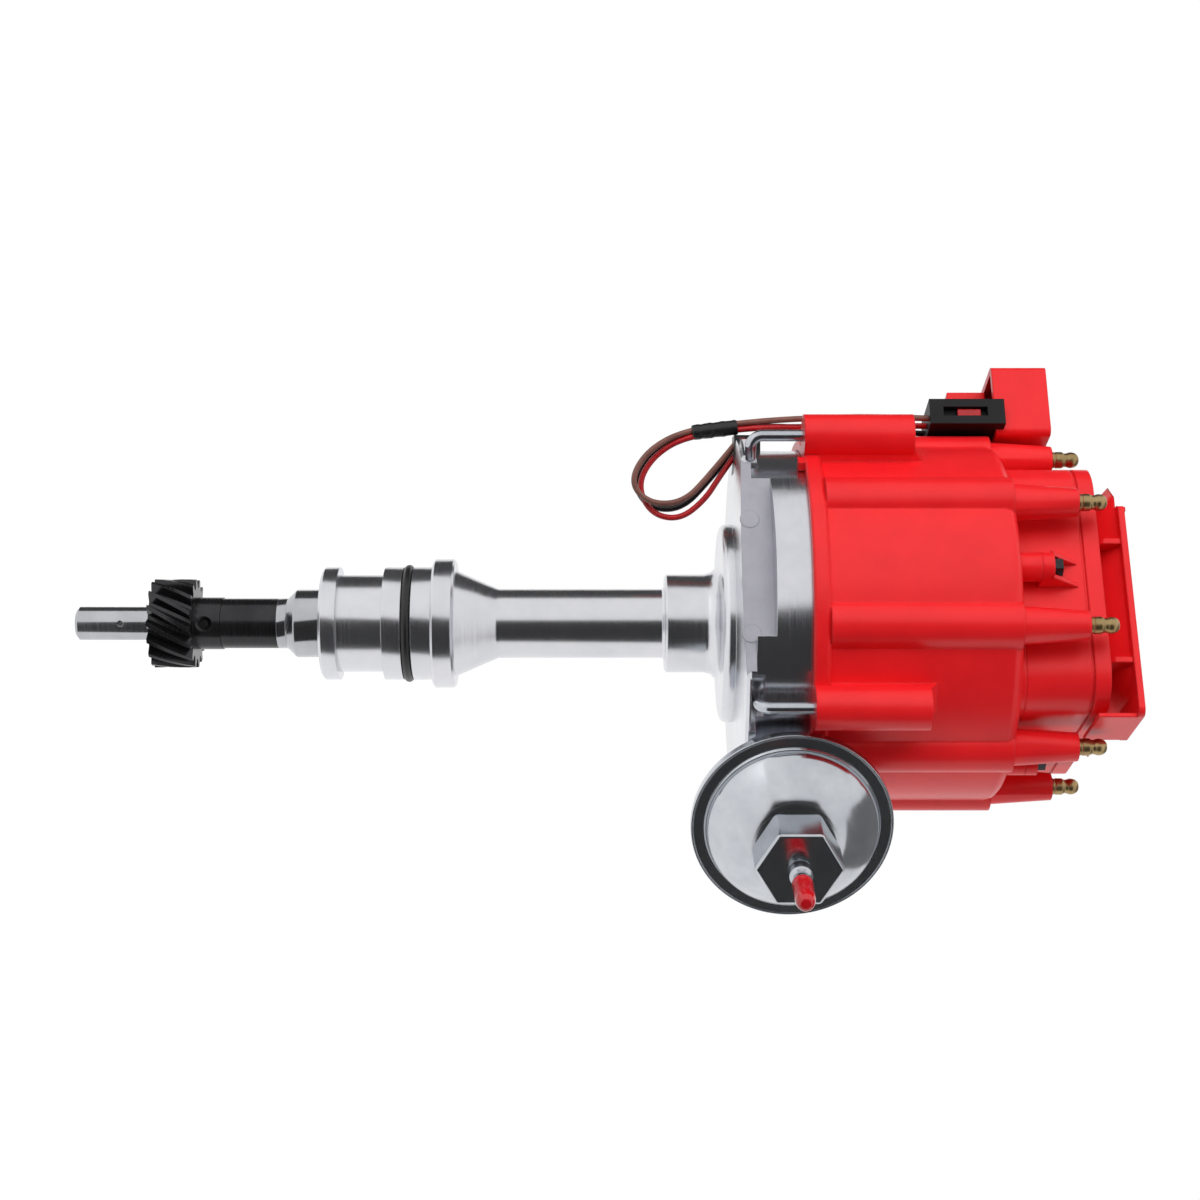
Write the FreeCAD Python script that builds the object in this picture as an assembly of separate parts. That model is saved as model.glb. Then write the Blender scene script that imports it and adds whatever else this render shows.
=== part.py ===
import FreeCAD, Part
import math
import os

Vec = FreeCAD.Vector

# Ignition distributor for a V8 engine. All lengths are in millimetres.
# +Z runs along the drive shaft from the gear to the cap. Z = 0 is the underside of the mounting flange.
# Angles are measured about Z from +X towards +Y.

# Fits and clearances
RUNNING_GAP = 0.05
SLIDE_GAP = 0.08
LOOSE_GAP = 0.3

# How finely rounded forms are stepped
SMALL_ROUNDING = 1.6
SPRING_STEPS = 10
LEAD_SIDES = 8
RIM_FACETS = 36
HUB_FACETS = 28
SMALL_FACETS = 16
TERMINAL_FACETS = 12

# Shaft and drive train
SHAFT_R = 6.35
SHAFT_BOTTOM_Z = -129.5
SHAFT_CHAMFER = 1.0
TAIL_R = 6.1
TAIL_GAP = 0.5
HEX_SOCKET_FLATS = 7.94
HEX_SOCKET_DEPTH = 20.0
DIMPLE_R = 1.1
DIMPLE_DEPTH = 1.2
DIMPLE_UP = 16.6
GEAR_BOTTOM_Z = -101.5
GEAR_FACE_WIDTH = 15.5
GEAR_TIP_R = 16.05
GEAR_ROOT_R = 12.9
GEAR_TEETH = 16
GEAR_HELIX_DEG = 27.0
GEAR_STEPS = 5
GEAR_HUB_R = 9.45
GEAR_HUB_LENGTH = 9.5
GEAR_PIN_R = 1.5
GEAR_PIN_COUNTERSINK_R = 3.4
SPACER_R = 9.05
SPACER_LENGTH = 20.2
COLLAR_NECK_R = 9.1
COLLAR_NECK_LENGTH = 3.3
COLLAR_R = 12.35
COLLAR_CONE_LENGTH = 3.3
SHAFT_END_PLAY = 0.25

# Housing
SHANK_R = 20.45
SHANK_NECK_R = 17.6
SHANK_BOTTOM_Z = -40.0
SHANK_FLANGE_T = 6.1
LAND_BOTTOM_Z = -17.5
GROOVE_BOTTOM_Z = -10.75
GROOVE_WIDTH = 3.6
GROOVE_R = 18.0
O_RING_SECTION_R = 1.65
FLANGE_R = 23.3
FLANGE_T = 8.0
CONE_BOTTOM_R = 19.2
CONE_HEIGHT = 15.4
TUBE_R = 12.5
COLLAR_TOP_R = 17.75
COLLAR_BOTTOM_Z = 83.5
DISC_BOTTOM_Z = 102.4
DISC_R = 35.9
DISC_FILLET = 5.0
BOWL_BOTTOM_Z = 107.5
BOWL_SLOPE = 1.6
BASE_RING_R = 67.5
BASE_RING_TOP_Z = 112.5
WALL_R = 62.5
WALL_T = 4.0
FLOOR_Z = 113.0
SHELF_Z = 124.5
LOW_CAVITY_R = 56.0
RIM_Z = 134.0
BUSH_R = 9.0
BUSH_LENGTH = 26.0
BOSS_R = 12.0
BOSS_TOP_Z = 123.4
BUSH_TOP_Z = 122.6

# Flat side of the housing
FLAT_ANGLE = -112.5
FLAT_DISTANCE = 53.3
FLAT_WALL = 3.4
FLAT_TOP_Z = 119.0
FLAT_SPLIT = 27.0
FLAT_SLOPE = 0.05
NOTCH_DEPTH = 2.2
NOTCH_START = -37.0
NOTCH_END = -26.5
NOTCH_BOTTOM_Z = 112.8

# Cap
CAP_SKIRT_BOTTOM_Z = 131.3
CAP_SKIRT_TOP_Z = 137.0
CAP_SKIRT_R = 66.5
CAP_R = 64.0
CAP_INNER_R = 60.0
CAP_UPPER_INNER_R = 56.4
CAP_STEP_Z = 164.0
CAP_TOP_Z = 202.0
CAP_TOP_T = 5.0
CAP_SHOULDER = 4.0
TAB_ANGLE = -150.2
TAB_HALF_WIDTH = 2.3
TAB_DROP = 2.3
RIB_R = 8.7
TOWER_PITCH_R = 59.3
TOWER_COUNT = 8
TOWER_BASE_R = 6.6
TOWER_TIP_R = 5.0
TOWER_TOP_Z = 223.8
TERMINAL_R = 3.0
TERMINAL_LENGTH = 10.2
TERMINAL_BARREL = 3.2
TERMINAL_WAIST = 1.0
SHANK_PIN_R = 2.3
ELECTRODE_INNER_R = 53.8
ELECTRODE_DROP = 36.0
ELECTRODE_Z = CAP_TOP_Z - ELECTRODE_DROP
ELECTRODE_HEIGHT = 6.0
ELECTRODE_WIDTH = 7.0

# Latches
LATCH_ANGLES = (-67.5, -157.5, 112.5, 22.5)
LATCH_PITCH_R = 71.5
LOBE_R = 7.5
LOBE_LENGTH = 38.3
LOBE_TOP_Z = CAP_SKIRT_BOTTOM_Z + LOBE_LENGTH
LOBE_WEB = 11.0
LATCH_ROD_R = 2.0
LATCH_FOOT_Z = 113.05
LATCH_BEND_R = 4.0
LATCH_FOOT_REACH = 11.2
LATCH_POCKET_R = 12.2
LATCH_POCKET_BOTTOM_Z = 110.7
LATCH_POCKET_TOP_Z = 115.3
LATCH_HEAD_R = 5.4
LATCH_HEAD_T = 4.0
LATCH_HEAD_SINK = 1.0
LATCH_BORE_DEPTH = 19.6
LATCH_BORE_FLOOR_Z = LOBE_TOP_Z - LATCH_BORE_DEPTH
LATCH_SLOT = 1.4
LATCH_SPRING_WIRE_R = 0.5

# Coil cover, hood and coil
COVER_ANGLE = 157.5
COVER_HALF_V = 45.5
COVER_REAR_U = -46.5
COVER_FRONT_U = 45.0
COVER_CORNER = 14.0
COVER_WALL = 2.6
COVER_SEAT_Z = 204.0
COVER_GROOVE_Z = 226.5
COVER_LEDGE_Z = 232.5
COVER_TOP_Z = 241.0
COVER_TOP_T = 2.2
COVER_INSET = 14.5
COVER_TOP_INSET = 6.0
FLANGE_FRONT_U = 28.0
FLANGE_OVERHANG = 3.5
FLANGE_INNER_V = 13.0
FIN_US = (-30.0, 14.0)
FIN_T = 2.0
FLANGE_LIP = 1.2
FLANGE_LIP_T = 1.5
HOOD_NECK_HALF_V = 13.5
HOOD_HALF_V = 28.0
HOOD_START_U = 63.0
HOOD_END_U = 91.0
HOOD_TOP_Z = 224.0
BLOCK_END_U = 88.0
BLOCK_DEPTH = 15.0
BLOCK_BOTTOM_Z = CAP_TOP_Z - BLOCK_DEPTH
BLOCK_NEAR_V = 12.6
BLOCK_FAR_V = -24.0
SOCKET_U = 79.0
SOCKET_HALF_U = 5.0
SOCKET_HALF_V = 4.2
SOCKET_VS = (-17.0, -5.0)
LUG_V = 51.5
LUG_R = 5.0
LUG_SEAT_Z = 210.0
LUG_T = 4.2
SCREW_R = 1.9
SCREW_HEAD_R = 3.35
SCREW_HEAD_T = 3.2
COIL_HALF_U = 31.0
COIL_HALF_V = 26.0
COIL_LAMINATION_Z = 212.0
COIL_LAMINATION_T = 15.0
COIL_LEG_HALF = 6.5
COIL_WINDOW_HALF_U = 21.0
COIL_WINDOW_HALF_V = 17.5
WINDING_OVERHANG = 4.0
COIL_SCREW_U = 26.0
COIL_SCREW_V = 21.8
SEAL_R = 11.0
SEAL_HOLE_R = 4.2

# Plug and leads
PLUG_U0 = 64.5
PLUG_U1 = 74.5
PLUG_V0 = 13.0
PLUG_V1 = 33.0
PLUG_BOTTOM_Z = 179.5
PLUG_WINDOW_EDGE = 3.2
PLUG_WINDOW_DEPTH = 3.0
PLUG_WINDOW_LENGTH = 16.0
LEAD_R = 1.1
SLEEVE_R = 2.95
SLEEVE_BORE_R = 2.5
SLEEVE_TOP = (-71.5, 2.0, 110.2)
SLEEVE_BOTTOM = (-69.5, 2.0, 93.8)
GROMMET_WIDTH = 13.0
GROMMET_INNER_R = 54.0
GROMMET_OUTER_R = 68.0
GROMMET_BOTTOM_Z = 108.6
GROMMET_TOP_Z = 118.0

# Vacuum canister, on an axis along CANISTER_ANGLE
CANISTER_ANGLE = -67.5
CANISTER_OFFSET = 44.0
CANISTER_Z = 125.4
CANISTER_REAR_R = 18.0
CANISTER_GAP = 1.2
CANISTER_REAR_S = math.sqrt(BASE_RING_R ** 2 - (CANISTER_OFFSET - CANISTER_REAR_R) ** 2) + CANISTER_GAP
CANISTER_RIM_S = CANISTER_REAR_S + 8.0
CANISTER_RIM_R = 34.6
CANISTER_RIM_T = 2.6
CANISTER_SHELL_T = 1.2
CANISTER_HEX_S = CANISTER_REAR_S + 24.5
CANISTER_HEX_FLATS = 26.0
CANISTER_HEX_LENGTH = 14.0
NOZZLE_R = 2.7
NOZZLE_BORE_R = 1.4
NOZZLE_COLLAR_R = 3.9
NOZZLE_COLLAR_LENGTH = 5.0
NOZZLE_LENGTH = 18.0
DUST_CAP_R = 3.55
DUST_CAP_START = 8.0
DUST_CAP_LENGTH = 14.0
DIAPHRAGM_R = 27.0
DIAPHRAGM_T = 1.2
DIAPHRAGM_S = CANISTER_REAR_S + 2.1
ROD_HALF_WIDTH = 3.2
ROD_T = 1.6
ROD_SWING_DEG = 10.0
BRACKET_HALF_WIDTH = 7.5
BRACKET_T = 2.0
BRACKET_Z = 120.0
BRACKET_INNER_S = 22.0
BRACKET_SCREW_S = 27.5
BRACKET_SCREW_OFFSET = 4.4

# Pickup inside the bowl
PICKUP_PLATE_Z = 118.0
PICKUP_PLATE_T = 1.6
PICKUP_R = 33.0
PICKUP_EAR_R = 4.2
PICKUP_PIN_R = 1.5
COIL_RING_INNER_R = 13.2
COIL_RING_OUTER_R = 21.0
COIL_RING_HEIGHT = 7.6
MAGNET_INNER_R = 23.5
MAGNET_HEIGHT = 8.6
POLE_T = 2.0
POLE_TEETH = 8
POLE_TOOTH_WIDTH = 4.0
AIR_GAP = 0.6
CORE_TOOTH_R = 18.5
CORE_DISC_R = 14.5
CORE_TUBE_R = 8.8
CLIP_T = 1.0

# Advance mechanism and rotor
WEIGHT_BASE_Z = 141.0
WEIGHT_BASE_T = 2.4
WEIGHT_BASE_R = 30.0
WEIGHT_T = 4.0
WEIGHT_OUTER_R = 28.5
WEIGHT_INNER_R = 12.5
WEIGHT_PIN_ANGLE = 105.0
WEIGHT_PIN_PITCH_R = 22.0
WEIGHT_PIN_R = 1.6
CAM_HALF_LENGTH = 10.6
CAM_POST_R = 1.2
CAM_POST_ANGLE = 45.0
ADVANCE_SPRING_R = 1.6
ADVANCE_WIRE = 0.6
ROTOR_BASE_Z = 152.4
ROTOR_BASE_R = 37.0
ROTOR_BASE_T = 3.0
ROTOR_POST_ANGLE = 25.0
ROTOR_POST_PITCH_R = 24.5
ROTOR_POST_R = 4.6
ROTOR_TOP_Z = 181.5
ROTOR_HUB_R = 9.0
ROTOR_TIP_R = 53.0
ROTOR_ARM_HALF = 6.0
CONTACT_T = 1.2
CONTACT_HALF = 3.0
BUTTON_R = 3.0
BUTTON_LENGTH = 9.5
BUTTON_TRAVEL = 1.5
BUTTON_BORE_TOP_Z = 201.0
CENTRE_BOSS_R = 7.5
CENTRE_BOSS_Z = 188.0

# Parts on the bowl floor
MODULE_ANGLE = 67.5
MODULE_HALF_LENGTH = 24.0
MODULE_INNER = 36.5
MODULE_OUTER = 49.8
MODULE_HEIGHT = 8.5
MODULE_SCREW_OFFSET = 19.0
CAPACITOR_R = 5.2
CAPACITOR_LENGTH = 26.0
CAPACITOR_DISTANCE = 42.5


# Directions


def heading(angle):
    """A unit vector at an angle about Z."""
    return Vec(math.cos(math.radians(angle)), math.sin(math.radians(angle)), 0)


def polar(radius, angle, z):
    """A point at a radius and an angle about Z."""
    return heading(angle) * radius + Vec(0, 0, z)


def placement(origin, x_dir, z_dir):
    """The placement that puts local X and Z along two directions at an origin."""
    return FreeCAD.Placement(origin, FreeCAD.Rotation(x_dir, z_dir.cross(x_dir), z_dir, "ZXY"))


# The cover's own directions: U towards the hood, V towards the housing's flat side.
COVER_FRAME = placement(Vec(0, 0, 0), heading(COVER_ANGLE), Vec(0, 0, 1))
CANISTER_FRAME = placement(
    heading(CANISTER_ANGLE + 90) * CANISTER_OFFSET + Vec(0, 0, CANISTER_Z),
    Vec(0, 0, -1),
    heading(CANISTER_ANGLE),
)


# Shape helpers


def rounded_wire(corners, to_point):
    """A closed outline through corners (a, b) or (a, b, radius), with tangent arcs where a radius is given."""
    stations = []
    for index, corner in enumerate(corners):
        here = to_point(corner[0], corner[1])
        if len(corner) < 3:
            stations.append((here, here, here))
            continue
        back = (to_point(*corners[index - 1][:2]) - here).normalize()
        ahead = (to_point(*corners[(index + 1) % len(corners)][:2]) - here).normalize()
        half = back.getAngle(ahead) / 2
        bisector = (back + ahead).normalize()
        cut = corner[2] / math.tan(half)
        middle = here + bisector * (corner[2] / math.sin(half) - corner[2])
        stations.append((here + back * cut, middle, here + ahead * cut))
    edges = []
    for index, (start, middle, end) in enumerate(stations):
        if start.distanceToPoint(end) > 1e-6:
            edges.append(Part.Arc(start, middle, end).toShape())
        following = stations[(index + 1) % len(stations)][0]
        if end.distanceToPoint(following) > 1e-6:
            edges.append(Part.makeLine(end, following))
    return Part.Wire(edges)


def outline_points(corners):
    """The points of an (r, z) outline. A corner's radius becomes chords along its arc."""
    wire = rounded_wire(corners, lambda r, z: Vec(r, 0, z))
    points = []
    for edge in wire.OrderedEdges:
        count = 2
        if isinstance(edge.Curve, Part.Circle):
            count = 2 if edge.Curve.Radius < SMALL_ROUNDING else 4
        points += edge.discretize(count)[:-1]
    return points


def turned(corners):
    """A solid of revolution about Z from (r, z) corners."""
    return flat_face(outline_points(corners)).revolve(Vec(0, 0, 0), Vec(0, 0, 1), 360)


def skinned(rings):
    """A solid skinned in flat triangles over rings of points, closed at both ends."""
    faces = []
    for low, high in zip(rings, rings[1:]):
        for index in range(len(low)):
            after = (index + 1) % len(low)
            faces.append(flat_face([low[index], low[after], high[after]]))
            faces.append(flat_face([low[index], high[after], high[index]]))
    faces.append(flat_face(rings[0]))
    faces.append(flat_face(rings[-1]))
    return closed(faces)


def flat_face(points):
    """A flat face through points."""
    return Part.Face(Part.makePolygon(points + points[:1]))


def closed(faces):
    """The solid inside faces that meet edge to edge."""
    solid = Part.Solid(Part.Shell(faces))
    if solid.Volume < 0:
        solid.reverse()
    return solid


def faceted(corners, sides):
    """A turned form from (r, z) corners, in flat facets round Z."""
    outline = outline_points(corners)
    step = 360 / sides
    faces = []
    for side in range(sides):
        for start, end in zip(outline, outline[1:] + outline[:1]):
            points = []
            for point, angle in ((start, 0), (end, 0), (end, step), (start, step)):
                place = polar(point.x, step * side + angle, point.z)
                if all(place.distanceToPoint(other) > 1e-6 for other in points):
                    points.append(place)
            if len(points) > 2:
                faces.append(flat_face(points))
    return closed(faces)


def prism(corners, z0, z1):
    """An upright prism from (x, y) corners."""
    wire = rounded_wire(corners, lambda x, y: Vec(x, y, z0))
    return Part.Face(wire).extrude(Vec(0, 0, z1 - z0))


def slab(corners, y0, y1):
    """A prism along Y from (x, z) corners."""
    wire = rounded_wire(corners, lambda x, z: Vec(x, y0, z))
    return Part.Face(wire).extrude(Vec(0, y1 - y0, 0))


def rod(radius, z0, z1, centre=None):
    """An upright cylinder."""
    base = Vec(0, 0, z0) if centre is None else Vec(centre.x, centre.y, z0)
    return Part.makeCylinder(radius, z1 - z0, base)


def ring(outer, inner, z0, z1, centre=None):
    """An upright tube."""
    return rod(outer, z0, z1, centre).cut(rod(inner, z0 - 1, z1 + 1, centre))


def block(x0, x1, y0, y1, z0, z1):
    """A box between limits."""
    return Part.makeBox(x1 - x0, y1 - y0, z1 - z0, Vec(x0, y0, z0))


def rectangle(x0, x1, y0, y1, corner):
    """The corners of a rounded rectangle."""
    return [(x0, y0, corner), (x1, y0, corner), (x1, y1, corner), (x0, y1, corner)]


def hexagon(flats, z0, z1):
    """An upright hexagonal prism, by the distance across its flats."""
    corner_r = flats / 2 / math.cos(math.radians(30))
    corners = [(corner_r * heading(60 * i).x, corner_r * heading(60 * i).y) for i in range(6)]
    return prism(corners, z0, z1)


def moved(shape, frame):
    """A copy of a shape, taken from local axes into a frame."""
    copy = shape.copy()
    copy.Placement = frame.multiply(copy.Placement)
    return copy


def turned_about_z(shape, angle):
    """A copy of a shape, turned about the shaft."""
    copy = shape.copy()
    copy.rotate(Vec(0, 0, 0), Vec(0, 0, 1), angle)
    return copy


def fused(shapes):
    """Several overlapping solids as one."""
    whole = shapes[0]
    for shape in shapes[1:]:
        whole = whole.fuse(shape)
    return whole.removeSplitter()


def spring(radius, wire, pitch, turns):
    """A coil of square wire along Z from z = 0, in straight steps."""
    half = wire / 2
    sections = []
    for step in range(turns * SPRING_STEPS + 1):
        angle = 360 * step / SPRING_STEPS
        height = pitch * step / SPRING_STEPS
        points = [
            polar(radius - half, angle, height - half),
            polar(radius + half, angle, height - half),
            polar(radius + half, angle, height + half),
            polar(radius - half, angle, height + half),
        ]
        sections.append(points)
    return skinned(sections)


def save(name, shapes):
    """Write one node, a single solid or a group of separate solids."""
    shape = shapes if isinstance(shapes, Part.Shape) else Part.makeCompound(shapes)
    shape.exportStep("parts/" + name + ".step")


# Drive train


def main_shaft():
    """The shaft, with a slimmer tail below the gear and the oil pump's hexagonal socket in its end."""
    top = WEIGHT_BASE_Z + WEIGHT_BASE_T + WEIGHT_T
    body = turned(
        [
            (0, SHAFT_BOTTOM_Z),
            (TAIL_R - SHAFT_CHAMFER, SHAFT_BOTTOM_Z),
            (TAIL_R, SHAFT_BOTTOM_Z + SHAFT_CHAMFER),
            (TAIL_R, GEAR_BOTTOM_Z - TAIL_GAP),
            (SHAFT_R, GEAR_BOTTOM_Z - TAIL_GAP),
            (SHAFT_R, top),
            (0, top),
        ]
    )
    socket = hexagon(HEX_SOCKET_FLATS, SHAFT_BOTTOM_Z - 1, SHAFT_BOTTOM_Z + HEX_SOCKET_DEPTH)
    dimple = Part.makeCylinder(
        DIMPLE_R,
        DIMPLE_DEPTH + 1,
        Vec(0, -SHAFT_R - 1, SHAFT_BOTTOM_Z + DIMPLE_UP),
        Vec(0, 1, 0),
    )
    return body.cut(socket).cut(dimple).cut(cross_pin_hole())


def gear_pin_z():
    """The height of the roll pin through the gear's hub."""
    return GEAR_BOTTOM_Z + GEAR_FACE_WIDTH + 0.4 * GEAR_HUB_LENGTH


def cross_pin_hole():
    """The roll pin's hole through hub and shaft."""
    start = Vec(0, -GEAR_HUB_R - 1, gear_pin_z())
    return Part.makeCylinder(GEAR_PIN_R, 2 * GEAR_HUB_R + 2, start, Vec(0, 1, 0))


def gear_section(angle, z):
    """The gear's toothed outline at one height."""
    pitch = 360 / GEAR_TEETH
    points = []
    for tooth in range(GEAR_TEETH):
        middle = angle + tooth * pitch
        points.append(polar(GEAR_ROOT_R, middle - 0.36 * pitch, z))
        points.append(polar(GEAR_TIP_R, middle - 0.13 * pitch, z))
        points.append(polar(GEAR_TIP_R, middle + 0.13 * pitch, z))
        points.append(polar(GEAR_ROOT_R, middle + 0.36 * pitch, z))
    return points


def drive_gear():
    """The helical gear and its hub, one piece. Its teeth are a right-hand helix."""
    pitch_r = (GEAR_TIP_R + GEAR_ROOT_R) / 2
    twist = math.degrees(GEAR_FACE_WIDTH * math.tan(math.radians(GEAR_HELIX_DEG)) / pitch_r)
    sections = []
    for step in range(GEAR_STEPS + 1):
        share = step / GEAR_STEPS
        sections.append(gear_section(twist * share, GEAR_BOTTOM_Z + GEAR_FACE_WIDTH * share))
    teeth = skinned(sections)
    top = GEAR_BOTTOM_Z + GEAR_FACE_WIDTH + GEAR_HUB_LENGTH
    hub = rod(GEAR_HUB_R, GEAR_BOTTOM_Z + 1, top)
    countersink = Part.makeCone(
        GEAR_PIN_COUNTERSINK_R,
        GEAR_PIN_R,
        2,
        Vec(0, -GEAR_HUB_R - 0.4, gear_pin_z()),
        Vec(0, 1, 0),
    )
    body = teeth.fuse(hub)
    return body.cut(rod(SHAFT_R, GEAR_BOTTOM_Z - 1, top + 1)).cut(cross_pin_hole()).cut(countersink)


def gear_pin():
    """The roll pin that keeps the gear on the shaft."""
    length = 2 * GEAR_HUB_R - 3.4
    return Part.makeCylinder(GEAR_PIN_R, length, Vec(0, -length / 2, gear_pin_z()), Vec(0, 1, 0))


def spacer_sleeve():
    """The sleeve between the gear's hub and the thrust collar."""
    bottom = GEAR_BOTTOM_Z + GEAR_FACE_WIDTH + GEAR_HUB_LENGTH
    return ring(SPACER_R, SHAFT_R, bottom, bottom + SPACER_LENGTH)


def thrust_collar():
    """The collar that bears on the lower end of the housing."""
    bottom = GEAR_BOTTOM_Z + GEAR_FACE_WIDTH + GEAR_HUB_LENGTH + SPACER_LENGTH
    neck_top = bottom + COLLAR_NECK_LENGTH
    cone_top = neck_top + COLLAR_CONE_LENGTH
    top = SHANK_BOTTOM_Z - SHAFT_END_PLAY
    body = faceted(
        [
            (0, bottom),
            (COLLAR_NECK_R, bottom),
            (COLLAR_NECK_R, neck_top),
            (COLLAR_R, cone_top, 0.8),
            (COLLAR_R, top, 0.6),
            (0, top),
        ],
        HUB_FACETS,
    )
    return body.cut(rod(SHAFT_R, bottom - 1, top + 1))


# Housing


def latch_pocket(angle):
    """The pocket that one latch's foot turns in."""
    centre = polar(LATCH_PITCH_R, angle, 0)
    return rod(LATCH_POCKET_R, LATCH_POCKET_BOTTOM_Z, LATCH_POCKET_TOP_Z, centre)


def flat_side_cut():
    """What the flat takes off the bowl: high along most of its length, low at one end."""
    far = BASE_RING_R + 5
    rise = (far - FLAT_DISTANCE) * FLAT_SLOPE
    low = BOWL_BOTTOM_Z - 5
    frame = placement(Vec(0, 0, 0), heading(FLAT_ANGLE), Vec(0, 0, 1))
    pieces = []
    for top, start, end in ((FLAT_TOP_Z, -far, FLAT_SPLIT), (BASE_RING_TOP_Z, FLAT_SPLIT - 1, far)):
        corners = [(FLAT_DISTANCE, low), (far, low), (far, top + rise), (FLAT_DISTANCE, top)]
        pieces.append(moved(slab(corners, start, end), frame))
    return pieces[0].fuse(pieces[1])


def flat_notch():
    """The rectangular notch in the flat's upper edge."""
    frame = placement(Vec(0, 0, 0), heading(FLAT_ANGLE), Vec(0, 0, 1))
    floor = FLAT_DISTANCE - NOTCH_DEPTH
    notch = block(floor, BASE_RING_R + 5, NOTCH_START, NOTCH_END, NOTCH_BOTTOM_Z, SHELF_Z)
    return moved(notch.cut(rod(WALL_R, NOTCH_BOTTOM_Z - 1, SHELF_Z + 1)), frame)


def flat_side_inside():
    """The region that stays solid behind the flat."""
    frame = placement(Vec(0, 0, 0), heading(FLAT_ANGLE), Vec(0, 0, 1))
    inner = FLAT_DISTANCE - FLAT_WALL
    return moved(block(inner, BASE_RING_R, -BASE_RING_R, BASE_RING_R, FLOOR_Z - 1, SHELF_Z), frame)


def bracket_pad():
    """The raised pad under the canister's bracket, in canister directions."""
    frame = placement(Vec(0, 0, 0), heading(CANISTER_ANGLE), Vec(0, 0, 1))
    reach = BRACKET_HALF_WIDTH + 2
    low = CANISTER_OFFSET - reach
    high = CANISTER_OFFSET + reach
    return moved(block(BRACKET_INNER_S, WALL_R, low, high, FLOOR_Z - 1, BRACKET_Z), frame)


def rod_window():
    """The window in the bowl's wall for the bracket and the pull rod."""
    frame = placement(Vec(0, 0, 0), heading(CANISTER_ANGLE), Vec(0, 0, 1))
    low = CANISTER_OFFSET - BRACKET_HALF_WIDTH - LOOSE_GAP
    high = CANISTER_OFFSET + BRACKET_HALF_WIDTH + LOOSE_GAP
    return moved(block(BRACKET_INNER_S - 1, WALL_R + 2, low, high, BRACKET_Z, SHELF_Z + 4.5), frame)


def grommet_slot():
    """The slot in the base for the harness grommet."""
    half = GROMMET_WIDTH / 2
    return block(-BASE_RING_R - 1, -GROMMET_INNER_R, -half, half, BOWL_BOTTOM_Z - 2, GROMMET_TOP_Z)


def housing_outline():
    """The housing's outer profile."""
    groove_top = GROOVE_BOTTOM_Z + GROOVE_WIDTH
    return [
        (0, SHANK_BOTTOM_Z),
        (SHANK_R, SHANK_BOTTOM_Z, 1.0),
        (SHANK_R, SHANK_BOTTOM_Z + SHANK_FLANGE_T),
        (SHANK_NECK_R, SHANK_BOTTOM_Z + SHANK_FLANGE_T),
        (SHANK_NECK_R, LAND_BOTTOM_Z),
        (SHANK_R, LAND_BOTTOM_Z),
        (SHANK_R, GROOVE_BOTTOM_Z),
        (GROOVE_R, GROOVE_BOTTOM_Z),
        (GROOVE_R, groove_top),
        (SHANK_R, groove_top),
        (SHANK_R, 0),
        (FLANGE_R, 0, 0.8),
        (FLANGE_R, FLANGE_T, 0.8),
        (CONE_BOTTOM_R, FLANGE_T),
        (TUBE_R, FLANGE_T + CONE_HEIGHT, 4.0),
        (TUBE_R, COLLAR_BOTTOM_Z, 1.0),
        (COLLAR_TOP_R, COLLAR_BOTTOM_Z, 0.8),
        (COLLAR_TOP_R, DISC_BOTTOM_Z, DISC_FILLET),
        (DISC_R, DISC_BOTTOM_Z + 1.0, 2.5),
        (DISC_R, BOWL_BOTTOM_Z),
        (BASE_RING_R, BOWL_BOTTOM_Z + BOWL_SLOPE, 1.0),
        (BASE_RING_R, BASE_RING_TOP_Z),
        (WALL_R, BASE_RING_TOP_Z),
        (WALL_R, RIM_Z),
        (0, RIM_Z),
    ]


def housing():
    """The cast and turned aluminium housing."""
    body = turned(housing_outline())
    low_cavity = rod(LOW_CAVITY_R, FLOOR_Z, SHELF_Z + 1)
    low_cavity = low_cavity.cut(flat_side_inside()).cut(bracket_pad())
    high_cavity = rod(WALL_R - WALL_T, SHELF_Z, RIM_Z + 1)
    boss = rod(BOSS_R, FLOOR_Z - 1, BOSS_TOP_Z)
    body = body.cut(low_cavity).cut(high_cavity).fuse(boss)
    body = body.cut(rod(BUSH_R, SHANK_BOTTOM_Z - 1, BOSS_TOP_Z + 1))
    body = body.cut(flat_side_cut()).cut(flat_notch()).cut(rod_window()).cut(grommet_slot())
    for angle in LATCH_ANGLES:
        body = body.cut(latch_pocket(angle))
    for place in bracket_screw_places() + module_screw_places() + [capacitor_screw_place()]:
        body = body.cut(rod(SCREW_R, FLOOR_Z - 2.5, place.z, place))
    return body.cut(clip_groove()).removeSplitter()


def clip_groove():
    """The groove near the top of the boss for the pickup's retaining clip."""
    z = PICKUP_PLATE_Z + PICKUP_PLATE_T + SLIDE_GAP
    return ring(BOSS_R + 1, BOSS_R - 0.8, z, z + CLIP_T)


def bushing(bottom, top):
    """A sintered bushing pressed into the housing."""
    return ring(BUSH_R, SHAFT_R + RUNNING_GAP, bottom, top)


def o_ring():
    """The ring that seals the shank in the engine."""
    middle = GROOVE_BOTTOM_Z + GROOVE_WIDTH / 2
    centre_r = GROOVE_R + O_RING_SECTION_R
    corners = []
    for side in range(8):
        spoke = heading(22.5 + 45 * side) * O_RING_SECTION_R
        corners.append((centre_r + spoke.x, middle + spoke.y))
    return turned(corners)


# Pickup


def rod_pin_place():
    """Where the pull rod's pin stands at rest, half the swing before its middle."""
    start = -CANISTER_OFFSET * math.tan(math.radians(ROD_SWING_DEG / 2))
    return heading(CANISTER_ANGLE) * start + heading(CANISTER_ANGLE + 90) * CANISTER_OFFSET


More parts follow.
